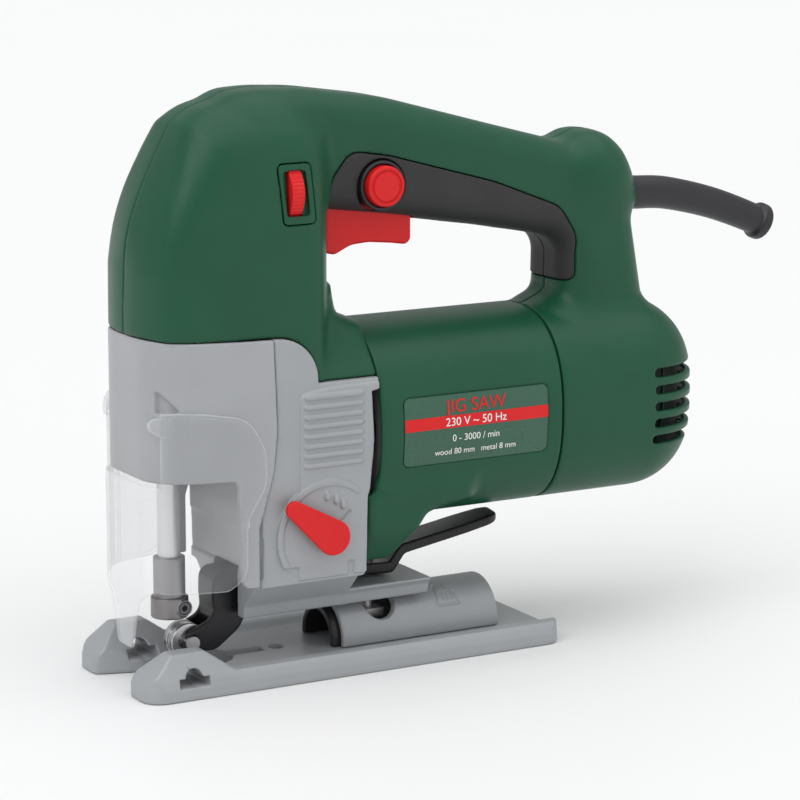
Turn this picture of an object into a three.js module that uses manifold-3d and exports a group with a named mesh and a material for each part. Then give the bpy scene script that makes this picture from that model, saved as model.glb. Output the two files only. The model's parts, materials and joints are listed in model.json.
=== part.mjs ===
// Corded D-handle jigsaw with an orbital (pendulum) blade drive.
// Millimetres. +X points to the rear of the saw, -Y to its left side (the side with the controls), +Z up.
// The origin is the middle of the sole's bottom face.
import * as THREE from 'three';
import { mergeVertices } from 'three/addons/utils/BufferGeometryUtils.js';
import Module from 'manifold-3d';

const wasm = await Module();
wasm.setup();

// ---- driving dimensions ----
const GAP = 0.3; // clearance left between neighbouring pieces
const WALL = 2.6; // wall of the plastic shells

const SOLE_LENGTH = 165;
const SOLE_WIDTH = 62;
const SOLE_FLOOR = 5;
const RAIL_TOP = 8.2;
const TOE_TOP = 16;
const TILT_AXIS_Z = 6.6; // the sole tilts about this line, along X
const SADDLE_RADIUS = 15;
const CLAMP_X = 18; // the upright screw that clamps the sole

const MOTOR_Z = 85; // motor axis
const BARREL_FRONT = 7.3;
const BARREL_REAR = 81;
const BARREL_HALF_WIDTH = 32.3;
const BARREL_HALF_HEIGHT = 35.8;
const BARREL_SQUARENESS = 2.4; // 2 is an ellipse, more is squarer
const CAP_END = 148;

const GRIP_HALF = 17;
const GRIP_EDGE = 9; // rounding of the grip's edges
const GRIP_CORE_HALF = 11; // half width of the space inside the grip
const INLAY_SKIN = 2.5; // thickness of the soft inlays let into the grip

const BODY_HALF = 30; // half width of the gear housing
const PLUNGER_X = -60;
const ROD_RADIUS = 4;
const STROKE = 19;
const MODULE = 1;
const PINION_TEETH = 10;
const GEAR_TEETH = 48;
const GEAR_Z = MOTOR_Z + MODULE * (PINION_TEETH + GEAR_TEETH) / 2;
const GEAR_FRONT = -30;
const GEAR_BACK = -22;
const CRANK_Z = GEAR_Z - STROKE / 2;

const ROLLER = { x: -54.5, z: 12.6, radius: 6.5 };
const PENDULUM_PIVOT = { x: -30, z: 41 };
const ORBIT = { x: -12.9, z: 51.2 };
const DIAL = { x: -23.4, y: -19, z: 170.5, radius: 10.5 };
const BUTTON = { x: 15.1, z: 169.8, radius: 7.2 };
const SADDLE_SLOT = { z: 19.2, radius: 6.2 }; // the cut in the saddle that the clamp screw passes through

// ---- materials ----
function finish(color, roughness, metalness = 0) {
  return new THREE.MeshStandardMaterial({ color, roughness, metalness });
}
const GREEN = finish(0x1f5e46, 0.42);
const GREY = finish(0xa9aeb1, 0.45, 0.3);
const RED = finish(0xd8232a, 0.4);
const RUBBER = finish(0x262629, 0.75);
const BLACK = finish(0x1b1b20, 0.6);
const STEEL = finish(0x8a878a, 0.35, 0.9);
const BRIGHT = finish(0xb9bcc0, 0.25, 0.95);
const DARK_STEEL = finish(0x202124, 0.45, 0.6);
const CLEAR = new THREE.MeshStandardMaterial({ color: 0xdfe4e8, roughness: 0.08, transparent: true,
  opacity: 0.4 });
const COPPER = finish(0xb0703c, 0.4, 0.8);
const IRON = finish(0x6d7075, 0.5, 0.8);
const LABEL = finish(0x1d4f3e, 0.35);
const CIRCUIT = finish(0x2a2d30, 0.6);

// ---- solids from three.js geometry ----
function solid(geometry) {
  const bare = geometry.clone();
  bare.deleteAttribute('normal');
  bare.deleteAttribute('uv');
  const merged = mergeVertices(bare, 1e-4);
  const triangles = [];
  for (let i = 0; i < merged.index.count; i += 3) {
    const corner = [0, 1, 2].map((k) => merged.index.getX(i + k));
    if (new Set(corner).size === 3) triangles.push(corner);
  }
  const build = (list) => new wasm.Manifold(new wasm.Mesh({
    numProp: 3,
    vertProperties: new Float32Array(merged.attributes.position.array),
    triVerts: new Uint32Array(list.flat()),
  }));
  const made = build(triangles);
  return made.volume() > 0 ? made : build(triangles.map(([a, b, c]) => [a, c, b]));
}

function unite(...pieces) {
  return pieces.reduce((sum, piece) => sum.add(piece));
}

function cut(body, ...tools) {
  return tools.reduce((rest, tool) => rest.subtract(tool), body);
}

// Corners given as [a, b] are sharp, as [a, b, radius] are rounded as far as the edges beside them allow.
function rounded(corners) {
  const at = corners.map(([a, b]) => new THREE.Vector2(a, b));
  return corners.flatMap(([, , radius = 0], i) => {
    const here = at[i];
    const before = at.at(i - 1).clone().sub(here);
    const after = at[(i + 1) % at.length].clone().sub(here);
    const reach = 0.47 * Math.min(before.length(), after.length());
    before.normalize();
    after.normalize();
    const half = Math.acos(THREE.MathUtils.clamp(before.dot(after), -1, 1)) / 2;
    if (radius === 0) return [here.clone()];
    const fitted = Math.max(0.02, Math.min(radius, reach * Math.tan(half)));
    const start = here.clone().addScaledVector(before, fitted / Math.tan(half));
    const end = here.clone().addScaledVector(after, fitted / Math.tan(half));
    const centre = here.clone().addScaledVector(before.clone().add(after).normalize(),
      fitted / Math.sin(half));
    const from = start.sub(centre);
    const to = end.sub(centre);
    const sweep = Math.atan2(from.cross(to), from.dot(to));
    const steps = Math.max(1, Math.ceil(Math.abs(sweep) / 0.55));
    return Array.from({ length: steps + 1 }, (_, k) => (
      from.clone().rotateAround(new THREE.Vector2(), (sweep * k) / steps).add(centre)));
  });
}

// Points on an arc; the angles are in degrees.
function arc([a, b], radius, start, end, steps = 5) {
  return Array.from({ length: steps + 1 }, (_, k) => {
    const turn = THREE.MathUtils.degToRad(start + ((end - start) * k) / steps);
    return [a + radius * Math.cos(turn), b + radius * Math.sin(turn)];
  });
}

// Outline of two circles and their outer tangents.
function taper(a, radiusA, b, radiusB) {
  const way = THREE.MathUtils.radToDeg(Math.atan2(b.z - a.z, b.x - a.x));
  const apart = Math.hypot(b.x - a.x, b.z - a.z);
  const lean = THREE.MathUtils.radToDeg(Math.acos((radiusA - radiusB) / apart));
  return rounded([
    ...arc([b.x, b.z], radiusB, way - lean, way + lean, 6),
    ...arc([a.x, a.z], radiusA, way + lean, way - lean + 360, 10)]);
}

// Moves a closed line of corners inwards; convex corners get sharper and hollow ones rounder.
function insetCorners(corners, distance) {
  const at = corners.map(([a, b]) => new THREE.Vector2(a, b));
  const turn = THREE.ShapeUtils.area(at) > 0 ? 1 : -1;
  return corners.map(([, , radius = 0], i) => {
    const into = at[i].clone().sub(at.at(i - 1)).normalize();
    const out = at[(i + 1) % at.length].clone().sub(at[i]).normalize();
    const normal = new THREE.Vector2(-into.y - out.y, into.x + out.x).normalize();
    const reach = (turn * distance) / Math.max(0.35, normal.dot(new THREE.Vector2(-out.y, out.x)));
    const moved = at[i].clone().addScaledVector(normal, reach);
    const convex = into.cross(out) * turn > 0;
    return [moved.x, moved.y, radius === 0 ? 0 : Math.max(0.1, radius + (convex ? -distance : distance))];
  });
}

// Outlines of equally many points, [points, height] from low to high, joined into one closed body.
function loft(layers) {
  const count = layers[0][0].length;
  const turned = layers.map(([points, height]) => [
    THREE.ShapeUtils.area(points) > 0 ? points : [...points].reverse(), height]);
  const position = turned.flatMap(([points, height]) => points.flatMap((p) => [p.x, p.y, height]));
  const index = [];
  for (let k = 0; k + 1 < turned.length; k += 1) {
    for (let i = 0; i < count; i += 1) {
      const a = k * count + i;
      const b = k * count + ((i + 1) % count);
      index.push(a, b, b + count, a, b + count, a + count);
    }
  }
  const last = (turned.length - 1) * count;
  THREE.ShapeUtils.triangulateShape(turned[0][0], []).forEach(([a, b, c]) => index.push(a, c, b));
  const lastCap = THREE.ShapeUtils.triangulateShape(turned.at(-1)[0], []);
  lastCap.forEach((face) => index.push(...face.map((i) => last + i)));
  const geometry = new THREE.BufferGeometry();
  geometry.setAttribute('position', new THREE.Float32BufferAttribute(position, 3));
  geometry.setIndex(index);
  return geometry;
}

// An outline in X and Z made into a bar of a given half width, with its long edges rounded off.
function softBar(corners, half, edge, levels = 2) {
  const edges = Array.from({ length: levels + 1 }, (_, k) => {
    const turn = (Math.PI / 2) * (k / levels);
    return [rounded(insetCorners(corners, edge * (1 - Math.sin(turn)))),
      half - edge * (1 - Math.cos(turn))];
  });
  const layers = [...edges.map(([points, height]) => [points, -height]), ...[...edges].reverse()];
  return solid(loft(layers).rotateX(Math.PI / 2));
}

// A smooth closed line through the points.
function smooth(points, divisions) {
  const curve = new THREE.SplineCurve([...points, points[0]].map(([a, b]) => new THREE.Vector2(a, b)));
  return curve.getPoints(divisions).slice(0, -1);
}

// Moves a closed outline inwards by a distance.
function inset(points, distance) {
  const turn = THREE.ShapeUtils.area(points) > 0 ? 1 : -1;
  return points.map((point, i) => {
    const into = point.clone().sub(points.at(i - 1)).normalize();
    const out = points[(i + 1) % points.length].clone().sub(point).normalize();
    const normal = new THREE.Vector2(-into.y - out.y, into.x + out.x).normalize();
    const reach = distance / Math.max(0.5, normal.dot(new THREE.Vector2(-out.y, out.x)));
    return point.clone().addScaledVector(normal, turn * reach);
  });
}

function extrude(points, depth, options = {}) {
  const shape = new THREE.Shape(points);
  return new THREE.ExtrudeGeometry(shape,
    { depth, steps: 1, bevelEnabled: false, curveSegments: 1, ...options });
}

// An outline in X and Z, running from y0 to y1.
function side(points, y0, y1) {
  return solid(extrude(points, y1 - y0).rotateX(Math.PI / 2).translate(0, y1, 0));
}

// An outline in X and Y, running from z0 to z1.
function plan(points, z0, z1) {
  return solid(extrude(points, z1 - z0).translate(0, 0, z0));
}

// An outline in Y and Z, running from x0 to x1.
function front(points, x0, x1) {
  const turn = new THREE.Matrix4().makeBasis(
    new THREE.Vector3(0, 1, 0), new THREE.Vector3(0, 0, 1), new THREE.Vector3(1, 0, 0));
  return solid(extrude(points, x1 - x0).applyMatrix4(turn).translate(x0, 0, 0));
}

function box(x0, x1, y0, y1, z0, z1) {
  const geometry = new THREE.BoxGeometry(x1 - x0, y1 - y0, z1 - z0);
  return solid(geometry.translate((x0 + x1) / 2, (y0 + y1) / 2, (z0 + z1) / 2));
}

function mirrored(points) {
  return [...points, ...points.map(([a, ...rest]) => [-a, ...rest]).reverse()];
}

// Cylinders along each axis: [low, high] along the axis, then the two other coordinates of the centre.
function barX(radius, [x0, x1], y, z, sides = 24, endRadius = radius) {
  const geometry = new THREE.CylinderGeometry(endRadius, radius, x1 - x0, sides);
  return solid(geometry.rotateZ(-Math.PI / 2).translate((x0 + x1) / 2, y, z));
}

function barY(radius, [y0, y1], x, z, sides = 24, endRadius = radius) {
  const geometry = new THREE.CylinderGeometry(endRadius, radius, y1 - y0, sides);
  return solid(geometry.translate(x, (y0 + y1) / 2, z));
}

function barZ(radius, [z0, z1], x, y, sides = 24, endRadius = radius) {
  const geometry = new THREE.CylinderGeometry(endRadius, radius, z1 - z0, sides);
  return solid(geometry.rotateX(Math.PI / 2).translate(x, y, (z0 + z1) / 2));
}

// A body of the motor barrel's squarish section, along X. The profile is [x, inset] from end to end.
function barrelForm(profile, sides = 32) {
  const mean = (BARREL_HALF_WIDTH + BARREL_HALF_HEIGHT) / 2;
  const line = [[profile[0][0], mean], ...profile, [profile.at(-1)[0], mean]];
  const points = line.map(([x, depth]) => new THREE.Vector2(mean - depth, x));
  const geometry = new THREE.LatheGeometry(points, sides).rotateZ(-Math.PI / 2);
  const at = geometry.attributes.position;
  for (let i = 0; i < at.count; i += 1) {
    const y = at.getY(i);
    const z = at.getZ(i);
    const r = Math.hypot(y, z);
    if (r > 1e-3) {
      const c = Math.abs(y / r);
      const s = Math.abs(z / r);
      const k = (c ** BARREL_SQUARENESS + s ** BARREL_SQUARENESS) ** (-1 / BARREL_SQUARENESS);
      const shrink = mean - r;
      at.setY(i, (y / r) * k * (BARREL_HALF_WIDTH - shrink));
      at.setZ(i, (z / r) * k * (BARREL_HALF_HEIGHT - shrink));
    }
  }
  return solid(geometry.translate(0, 0, MOTOR_Z));
}

// ---- involute gear outline ----
function gearOutline(teeth, phase) {
  const pressure = THREE.MathUtils.degToRad(25);
  const pitch = (MODULE * teeth) / 2;
  const base = pitch * Math.cos(pressure);
  const tip = pitch + 0.8 * MODULE;
  const root = pitch - 1.1 * MODULE;
  const thinning = 0.14; // backlash taken off each side of a tooth
  const involute = (r) => Math.tan(Math.acos(Math.min(1, base / r))) - Math.acos(Math.min(1, base / r));
  const halfTooth = Math.PI / (2 * teeth) - thinning / pitch + involute(pitch);
  const radii = base > root ? [root, base, pitch, (pitch + tip) / 2, tip] : [root, pitch, tip];
  const points = [];
  for (let i = 0; i < teeth; i += 1) {
    const centre = phase + (2 * Math.PI * i) / teeth;
    const flank = radii.map((r) => [r, halfTooth - involute(Math.max(r, base))]);
    flank.forEach(([r, a]) => points.push([r * Math.cos(centre - a), r * Math.sin(centre - a)]));
    flank.reverse().forEach(([r, a]) => points.push([r * Math.cos(centre + a), r * Math.sin(centre + a)]));
  }
  return points;
}

function gear(teeth, phase, x0, x1, z) {
  const points = gearOutline(teeth, phase).map(([a, b]) => new THREE.Vector2(a, b + z));
  return front(points, x0, x1);
}

// ---- the scene ----
const jigsaw = new THREE.Group();
jigsaw.name = 'jigsaw';

function add(name, body, material) {
  const made = body.getMesh();
  const geometry = new THREE.BufferGeometry();
  geometry.setAttribute('position', new THREE.BufferAttribute(new Float32Array(made.vertProperties), 3));
  geometry.setIndex(new THREE.BufferAttribute(new Uint32Array(made.triVerts), 1));
  geometry.computeVertexNormals();
  const mesh = new THREE.Mesh(geometry, material);
  mesh.name = name;
  jigsaw.add(mesh);
}

// ================= upper housing: two plastic half shells =================
// Side view of the nose, above the grey gear housing.
const noseSide = rounded([
  [-76.2, 104], [-76, 130, 400], [-75.4, 146, 120], [-74.2, 158.5, 60], [-69.4, 171.8, 60],
  [-57.6, 194.4, 7],
  [-50, 199.5, 24], [-40, 203, 60], [-24, 205.2, 80], [-9, 204.2, 60], [6, 202], [6, 104],
]);
const nosePlan = rounded(mirroredPlan([
  [-84, 2], [-75.4, 16, 10], [-71.2, 22.8, 10], [-64.5, 26.8, 16], [-50, 30.3, 40], [-34, 31.4, 60],
  [-14.4, 30.4, 9], [-6.2, 16.5, 3],
]));
const noseFront = smooth(mirrored([
  [31.4, 60], [31.4, 122], [31.2, 140], [30.4, 157], [29, 173], [26, 187], [20, 198], [9, 205.4],
]), 30);

function mirroredPlan(points) {
  return [...points, ...points.map(([x, y, r]) => [x, -y, r]).reverse()];
}

function noseForm(depth) {
  const wide = side(inset(noseSide, depth), -50, 50);
  const seenFromAbove = plan(inset(nosePlan, depth), 60, 230);
  return wide.intersect(seenFromAbove).intersect(front(inset(noseFront, depth), -100, 20));
}

// Side view of the grip and the rear column as one bent bar.
const gripSide = [
  [-40, 203, 6], [-14, 204.5, 60], [20, 199.6, 80], [66, 187.2, 60], [91, 180.6, 10], [97.5, 179.4, 10],
  [103, 181.6, 8], [108, 182, 12], [113.5, 180, 12], [118.5, 175, 12], [123, 167, 12], [126.2, 157.5, 7],
  [123.7, 150.5, 8], [128.4, 124, 10], [131, 106], [85, 106], [85.5, 120.4, 3], [92.6, 125.6, 6],
  [93, 145.2, 9],
  [76, 148.7, 30], [57, 152.3, 40], [36, 155.7, 30], [20, 158.2, 10], [-4, 161.4, 10], [-40, 160, 8],
];

function gripForm(depth, half) {
  return softBar(insetCorners(gripSide, depth), half, Math.max(3, GRIP_EDGE - depth));
}

// The foot joins the nose to the front of the motor barrel.
const FOOT_END = 7;
const footFillet = rounded([[-20, 104], [FOOT_END, 104], [FOOT_END, 121.4, 2], [-1.6, 126.5, 5],
  [-3.9, 137], [-20, 137]]);
function footForm(depth) {
  return unite(
    barrelForm([[-20, depth], [FOOT_END, depth]]).intersect(box(-20, 8, -40, 40, 105.5, 130)),
    side(footFillet, -19 + depth, 19 - depth).intersect(box(-20, 8, -40, 40, 110, 140)),
  );
}

// Rear cap: the barrel's section, closed by a rounded end.
function capProfile(depth) {
  const start = BARREL_REAR + GAP;
  const round = [0, 0.35, 0.65, 0.88, 1].map((t) => {
    const x = 119 + t * (CAP_END - depth - 119);
    return [x, depth + 30 * (1 - Math.sqrt(1 - (t * 0.93) ** 2.2))];
  });
  return [[start - (depth > 0 ? 1 : 0), depth], ...round];
}

const lowerEdge = rounded([
  [-90, 90], [-90, 123.6], [-60, 122.5, 60], ...arc([-32, 106.2], 15.8, 90, 0), [-16.2, 105.5],
  [BARREL_FRONT, 105.5], [BARREL_FRONT, 90],
]);
const housingOuter = unite(
  noseForm(0).intersect(box(-80, 0, -40, 40, 105, 210)),
  gripForm(0, GRIP_HALF),
  footForm(0),
  barrelForm(capProfile(0)),
);
const housingInner = unite(
  noseForm(WALL),
  gripForm(6, GRIP_CORE_HALF),
  barrelForm([[-12, 3.2], [9, 3.2]]).intersect(box(-12, FOOT_END, -26, 26, 100, 119)),
  barrelForm(capProfile(WALL)),
);

const inlaySide = rounded([
  [-5.2, 163.3, 1], [-5, 172, 8], [3.4, 182.2, 7], [19, 179.6, 40], [61, 168, 60], [88.4, 157.4, 12],
  [96.6, 146, 12],
  [96.6, 129.5, 3], [80, 129.5], [80, 140], [50, 146], [20, 150],
]);
const triggerSlot = rounded([[-3.6, 140], [31.8, 140], [31.8, 171, 2], [-3.6, 171, 2]]);
const ventSlots = [0, 1, 2, 3, 4].map((i) => box(121, 160, -40, 40, 69.4 + 6.2 * i, 72.2 + 6.2 * i));
const dialWindow = box(DIAL.x - 3.4, DIAL.x + 3.4, -40, -8, DIAL.z - 11.5, DIAL.z + 11.5);
const guardSeat = barX(6.6, [120, 136], 0, 157.6, 20);
// Screws of the right shell: x, z and the depth at which the head sits.
const screwSpots = [
  [-58, 178, 17], [-32, 136, 24], [3, 193, 8], [60, 177, 11], [106, 170, 11], [114, 132, 11],
  [136, 98, 20], [93, 57, 17],
];
const screwSeats = screwSpots.flatMap(([x, z, seat]) => [
  barY(3.5, [seat - 0.2, 45], x, z, 10), barY(1.9, [seat - 8.4, seat], x, z, 6)]);
const screwPosts = screwSpots.map(([x, z]) => barY(5.2, [-40, 40], x, z, 8));
const hollow = housingOuter.subtract(housingInner);
const posts = unite(...screwPosts).intersect(housingOuter);
let clamshell = hollow.add(posts);
clamshell = cut(clamshell, side(lowerEdge, -50, 50), side(triggerSlot, -10.4, 10.4), dialWindow,
  guardSeat, ...ventSlots);
const barrelRoom = barrelForm([[-30, -GAP], [BARREL_REAR, -GAP]])
  .intersect(box(BARREL_FRONT - GAP, 83, -50, 50, 0, 200));
clamshell = cut(clamshell, barrelRoom);
// Seats of the inlays: all round the grip within their outline, down to their inner face.
const inlaySeat = side(inset(inlaySide, -GAP), -40, 40)
  .subtract(gripForm(INLAY_SKIN + GAP, GRIP_HALF - INLAY_SKIN - GAP));
clamshell = cut(clamshell, inlaySeat);
// The space of the gear train, the switch and the motor's rear end.
const innerSpace = unite(
  box(-46, -9, -27, 27, 100, 141),
  barX(24, [BARREL_REAR - 1, 128], 0, MOTOR_Z, 32),
  box(-2, 42, -10.6, 10.6, 160, 190),
  box(-70, -48, -16, 16, 100, 156),
);
clamshell = clamshell.subtract(innerSpace);

const buttonHole = barY(BUTTON.radius + 1.9, [-40, -13], BUTTON.x, BUTTON.z, 28);
const buttonBore = barY(BUTTON.radius + GAP, [-40, 0], BUTTON.x, BUTTON.z, 28);
const leftShell = cut(clamshell.intersect(box(-200, 200, -50, -0.15, 0, 260)), buttonHole, buttonBore);
const rightShell = cut(clamshell.intersect(box(-200, 200, 0.15, 50, 0, 260)), ...screwSeats);
add('left_handle_shell', leftShell, GREEN);
add('right_handle_shell', rightShell, GREEN);

const inlayForm = gripForm(0, GRIP_HALF + 0.35).intersect(side(inlaySide, -40, 40))
  .subtract(gripForm(INLAY_SKIN, GRIP_HALF - INLAY_SKIN));
add('left_grip_inlay', cut(inlayForm.intersect(box(-50, 150, -40, -0.15, 100, 220)),
  barY(BUTTON.radius + 2.1, [-40, 0], BUTTON.x, BUTTON.z, 28), side(triggerSlot, -10.4, 10.4)), RUBBER);
add('right_grip_inlay', cut(inlayForm.intersect(box(-50, 150, 0.15, 40, 100, 220)),
  side(triggerSlot, -10.4, 10.4), ...screwSeats), RUBBER);

screwSpots.forEach(([x, z, seat], i) => {
  const shank = barY(1.4, [seat - 8, seat + 0.5], x, z, 6);
  const head = barY(3.1, [seat + 0.1, seat + 2.5], x, z, 12);
  add(`housing_screw_${i + 1}`, cut(unite(shank, head),
    box(x - 2, x + 2, seat + 1.3, seat + 3, z - 0.4, z + 0.4),
    box(x - 0.4, x + 0.4, seat + 1.3, seat + 3, z - 2, z + 2)), BRIGHT);
});

// ================= controls in the upper housing =================
add('speed_dial', cut(barX(DIAL.radius, [DIAL.x - 2.4, DIAL.x + 2.4], DIAL.y, DIAL.z, 36),
  barX(2.2, [-40, 0], DIAL.y, DIAL.z, 12)), RED);
add('dial_frame', cut(box(DIAL.x - 7, DIAL.x + 7, -16, -9.5, DIAL.z - 13, DIAL.z + 13),
  barX(DIAL.radius + 0.5, [DIAL.x - 2.8, DIAL.x + 2.8], DIAL.y, DIAL.z, 36)), BLACK);
add('speed_module', box(-40, -12, -6.4, 9, 150, 186), CIRCUIT);
add('switch_body', box(-1.5, 41, -7, 9.8, 169.6, 189), BLACK);

// The button stops short of the trigger even when both are pressed.
add('lock_button', barY(BUTTON.radius, [-21.4, -13], BUTTON.x, BUTTON.z, 28), RED);
add('button_bezel', cut(barY(BUTTON.radius + 1.6, [-18.6, -13.4], BUTTON.x, BUTTON.z, 28),
  barY(BUTTON.radius + GAP, [-19, -12], BUTTON.x, BUTTON.z, 28)), BLACK);

const triggerSide = rounded([
  [-3.3, 163.4], [-3.3, 146.4, 1.2], [1, 145.4, 3], [7.5, 148.4, 9], [14.5, 148.9, 14], [24, 147.9, 12],
  [29.6, 147, 2.4], [31.4, 148.8, 2], [31.4, 163.4],
]);
add('trigger', side(triggerSide, -9.8, 9.8), RED);

// ================= motor housing =================
const barrel = barrelForm([[BARREL_FRONT, 0], [BARREL_REAR, 0]]);
const barrelBore = barrelForm([[BARREL_FRONT - 1, WALL], [BARREL_REAR + 1, WALL]]);
const CHIN_FRONT_X = 3;
const chinSide = rounded([
  [CHIN_FRONT_X, 62], [CHIN_FRONT_X, 35.5, 1], [17.2, 35.5, 4], [25, 46.4, 8], [28.4, 53.2, 5],
  [36, 56, 8], [46, 58],
  [46, 62],
]);
const chinFront = rounded(mirrored([[30, 70], [28, 50, 12], [19, 35.6, 6]]));
const chin = side(chinSide, -31, 31).intersect(front(chinFront, 0, 50));
const plateOutline = [[16, 72, 2.5], [75, 72, 2.5], [75, 96.7, 2.5], [16, 96.7, 2.5]];
const plateSeat = cut(side(rounded(insetCorners(plateOutline, -GAP)), -40, 0),
  barrelForm([[0, 1.5], [90, 1.5]]));
const chinBolt = cut(chin, box(0, 28, -17, 17, 38.5, 70));
add('motor_housing', cut(barrel.add(chinBolt), barrelBore, plateSeat), GREEN);
const plateBody = cut(side(rounded(plateOutline), -40, 0).intersect(barrelForm([[0, 0.35], [90, 0.35]])),
  barrelForm([[0, 1.2], [90, 1.2]]));
add('nameplate', plateBody, LABEL);

const shroudOuter = barrelForm([[BARREL_FRONT + GAP, 3], [10, 3]]);
add('fan_shroud', cut(shroudOuter, barX(26.5, [0, 12], 0, MOTOR_Z, 28)), BLACK);

// ================= gear housing =================
const housingSide = rounded([
  [-38.2, 34.6], [2.7, 34.6, 1.5], [2.7, 62], [3.6, 66, 6], [5.2, 83, 40], [3.9, 100.6], [FOOT_END, 101.2],
  [FOOT_END, 105.2], [-16.5, 105.2], ...arc([-32, 106.2], 15.5, 0, 90), [-33.7, 121.7], [-33, 104, 60],
  [-32.5, 90, 40], [-33.8, 77, 30], [-36, 68.4, 14], [-38.2, 60.5, 8],
]);
const housingFront = rounded(mirrored([[30.2, 125], [BODY_HALF, 100, 30], [28.6, 50, 30], [28, 38.6],
  [28, 34.6]]));
const housingBody = side(housingSide, -40, 40).intersect(front(housingFront, -60, 20));
const flangeFront = rounded(mirrored([[28, 38.4], [15, 25.4], [13.9, 20.8, 1]]));
const frontFlange = front(flangeFront, -38.2, 2.7);
const rearFlange = front(rounded(mirrored([[17, 27.2, 0.8], [14.8, 25], [13.9, 20.8, 1]])), 1, 36);
const gearSpace = unite(
  box(-60, 5.6, -25.6, 25.6, 75, 100.8),
  box(-35.6, 5.6, -25.6, 25.6, 40, 76),
  box(-60, -11, -25.6, 25.6, 90, 160),
);
const armSlot = unite(box(-60, -24, -9, 9, 10, 38.6), box(-35.6, -24, -9, 9, 30, 50));
const coverNotch = box(-60, -37.6, -50, 50, 38.4, 52.6);
const saddleRoom = barX(SADDLE_RADIUS + 0.8, [-60, 60], 0, TILT_AXIS_Z, 40);
const ribs = Array.from({ length: 8 },
  (_, i) => box(-21.8, -0.6, -31, -28, 75.7 + 3.45 * i, 77.5 + 3.45 * i));
let housing = unite(housingBody, frontFlange, rearFlange, ...ribs);
housing = cut(housing, gearSpace, armSlot, coverNotch, saddleRoom, barZ(3, [10, 40], CLAMP_X, 0, 20));
housing = cut(housing, barY(4.3, [-40, 0], ORBIT.x, ORBIT.z, 24));
housing = cut(housing, barY(2.3, [-27.3, 27.3], PENDULUM_PIVOT.x, PENDULUM_PIVOT.z, 14));
add('gear_housing', housing, GREY);

// Front cover: a thin wall round the nose with a leg down each side.
const coverPlan = rounded(mirroredPlan([
  [-82, 3], [-75, 15.2, 10], [-70.8, 22.2, 10], [-64.2, 26.1, 16], [-50, 29.6, 40], [-34, 30.7, 60],
  [-20, 30.7],
]));
const coverSide = rounded([
  [-90, 74], [-47.4, 74, 2], [-46, 36, 4], [-39.8, 36], [-39.8, 57, 3], [-38.5, 60.6, 5], [-36.3, 68.4, 14],
  [-34.1, 77, 30], [-32.8, 90, 40], [-33.3, 104, 60], [-34, 121.7], [-60, 122.2, 60],
  [-90, 123.3],
]);
const COVER_FRONT = -75.7;
const coverOuter = plan(coverPlan, 30, 125).intersect(box(COVER_FRONT, 0, -50, 50, 0, 130));
const coverInner = plan(inset(coverPlan, 2.4), 20, 130)
  .intersect(box(COVER_FRONT + 2.4, 0, -50, 50, 0, 140));
const coverWall = cut(coverOuter, coverInner, box(-30, 0, -29, 29, 20, 130));
add('front_cover', coverWall.intersect(side(coverSide, -50, 50)), GREY);

// ================= gear train =================
add('gear_plate', cut(box(-16, -12, -24, 24, 60, 138),
  barX(11.3, [-20, -13.5], 0, MOTOR_Z, 28), barX(6, [-20, 0], 0, MOTOR_Z, 24),
  barX(4.15, [-20, 0], 0, GEAR_Z, 24)), IRON);
add('front_bearing', cut(barX(11, [-19, -13.8], 0, MOTOR_Z, 28), barX(4.1, [-30, 0], 0, MOTOR_Z, 28)),
  BRIGHT);
add('gear_shaft', barX(4, [-33, -12.2], 0, GEAR_Z, 28), STEEL);
const pinion = gear(PINION_TEETH, 0, GEAR_FRONT - 1, GEAR_BACK + 1, MOTOR_Z);
const shaft = unite(barX(3.4, [GEAR_BACK, 128], 0, MOTOR_Z, 28), barX(4, [-20.6, 124], 0, MOTOR_Z, 28));
add('armature_shaft', pinion.add(shaft), STEEL);
const teeth = Array.from({ length: 10 }, (_, i) => {
  const slot = box(24, 74, -1.3, 1.3, 12, 22).rotate([36 * i, 0, 0]).translate([0, 0, MOTOR_Z]);
  return slot;
});
add('armature_core', cut(barX(20, [25, 73], 0, MOTOR_Z, 40), barX(4.15, [20, 80], 0, MOTOR_Z, 28),
  ...teeth), IRON);
add('commutator', cut(barX(11, [90, 106], 0, MOTOR_Z, 24), barX(4.15, [80, 120], 0, MOTOR_Z, 28)), COPPER);
const blades = Array.from({ length: 9 }, (_, i) => (
  box(10.4, 18, -0.9, 0.9, 8, 25).rotate([40 * i, 0, 0]).translate([0, 0, MOTOR_Z])));
add('fan', cut(unite(barX(9, [10.4, 20], 0, MOTOR_Z, 24), barX(25, [18, 20], 0, MOTOR_Z, 36), ...blades),
  barX(4.15, [0, 30], 0, MOTOR_Z, 28)), BLACK);
add('stator', cut(barX(28, [26, 72], 0, MOTOR_Z, 40), barX(21, [20, 80], 0, MOTOR_Z, 40)), IRON);
add('rear_bearing', cut(barX(9, [117, 123], 0, MOTOR_Z, 28), barX(4.1, [100, 130], 0, MOTOR_Z, 28)),
  BRIGHT);
[-1, 1].forEach((turn, i) => {
  const name = ['left', 'right'][i];
  const [low, high] = turn < 0 ? [-22, -11.4] : [11.4, 22];
  add(`${name}_brush`, box(95, 101, low, high, MOTOR_Z - 3, MOTOR_Z + 3), IRON);
  const [outer0, outer1] = turn < 0 ? [-23, -14] : [14, 23];
  add(`${name}_brush_holder`, cut(box(93, 103, outer0, outer1, MOTOR_Z - 5, MOTOR_Z + 5),
    box(94.7, 101.3, -30, 30, MOTOR_Z - 3.3, MOTOR_Z + 3.3)), COPPER);
});

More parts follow.
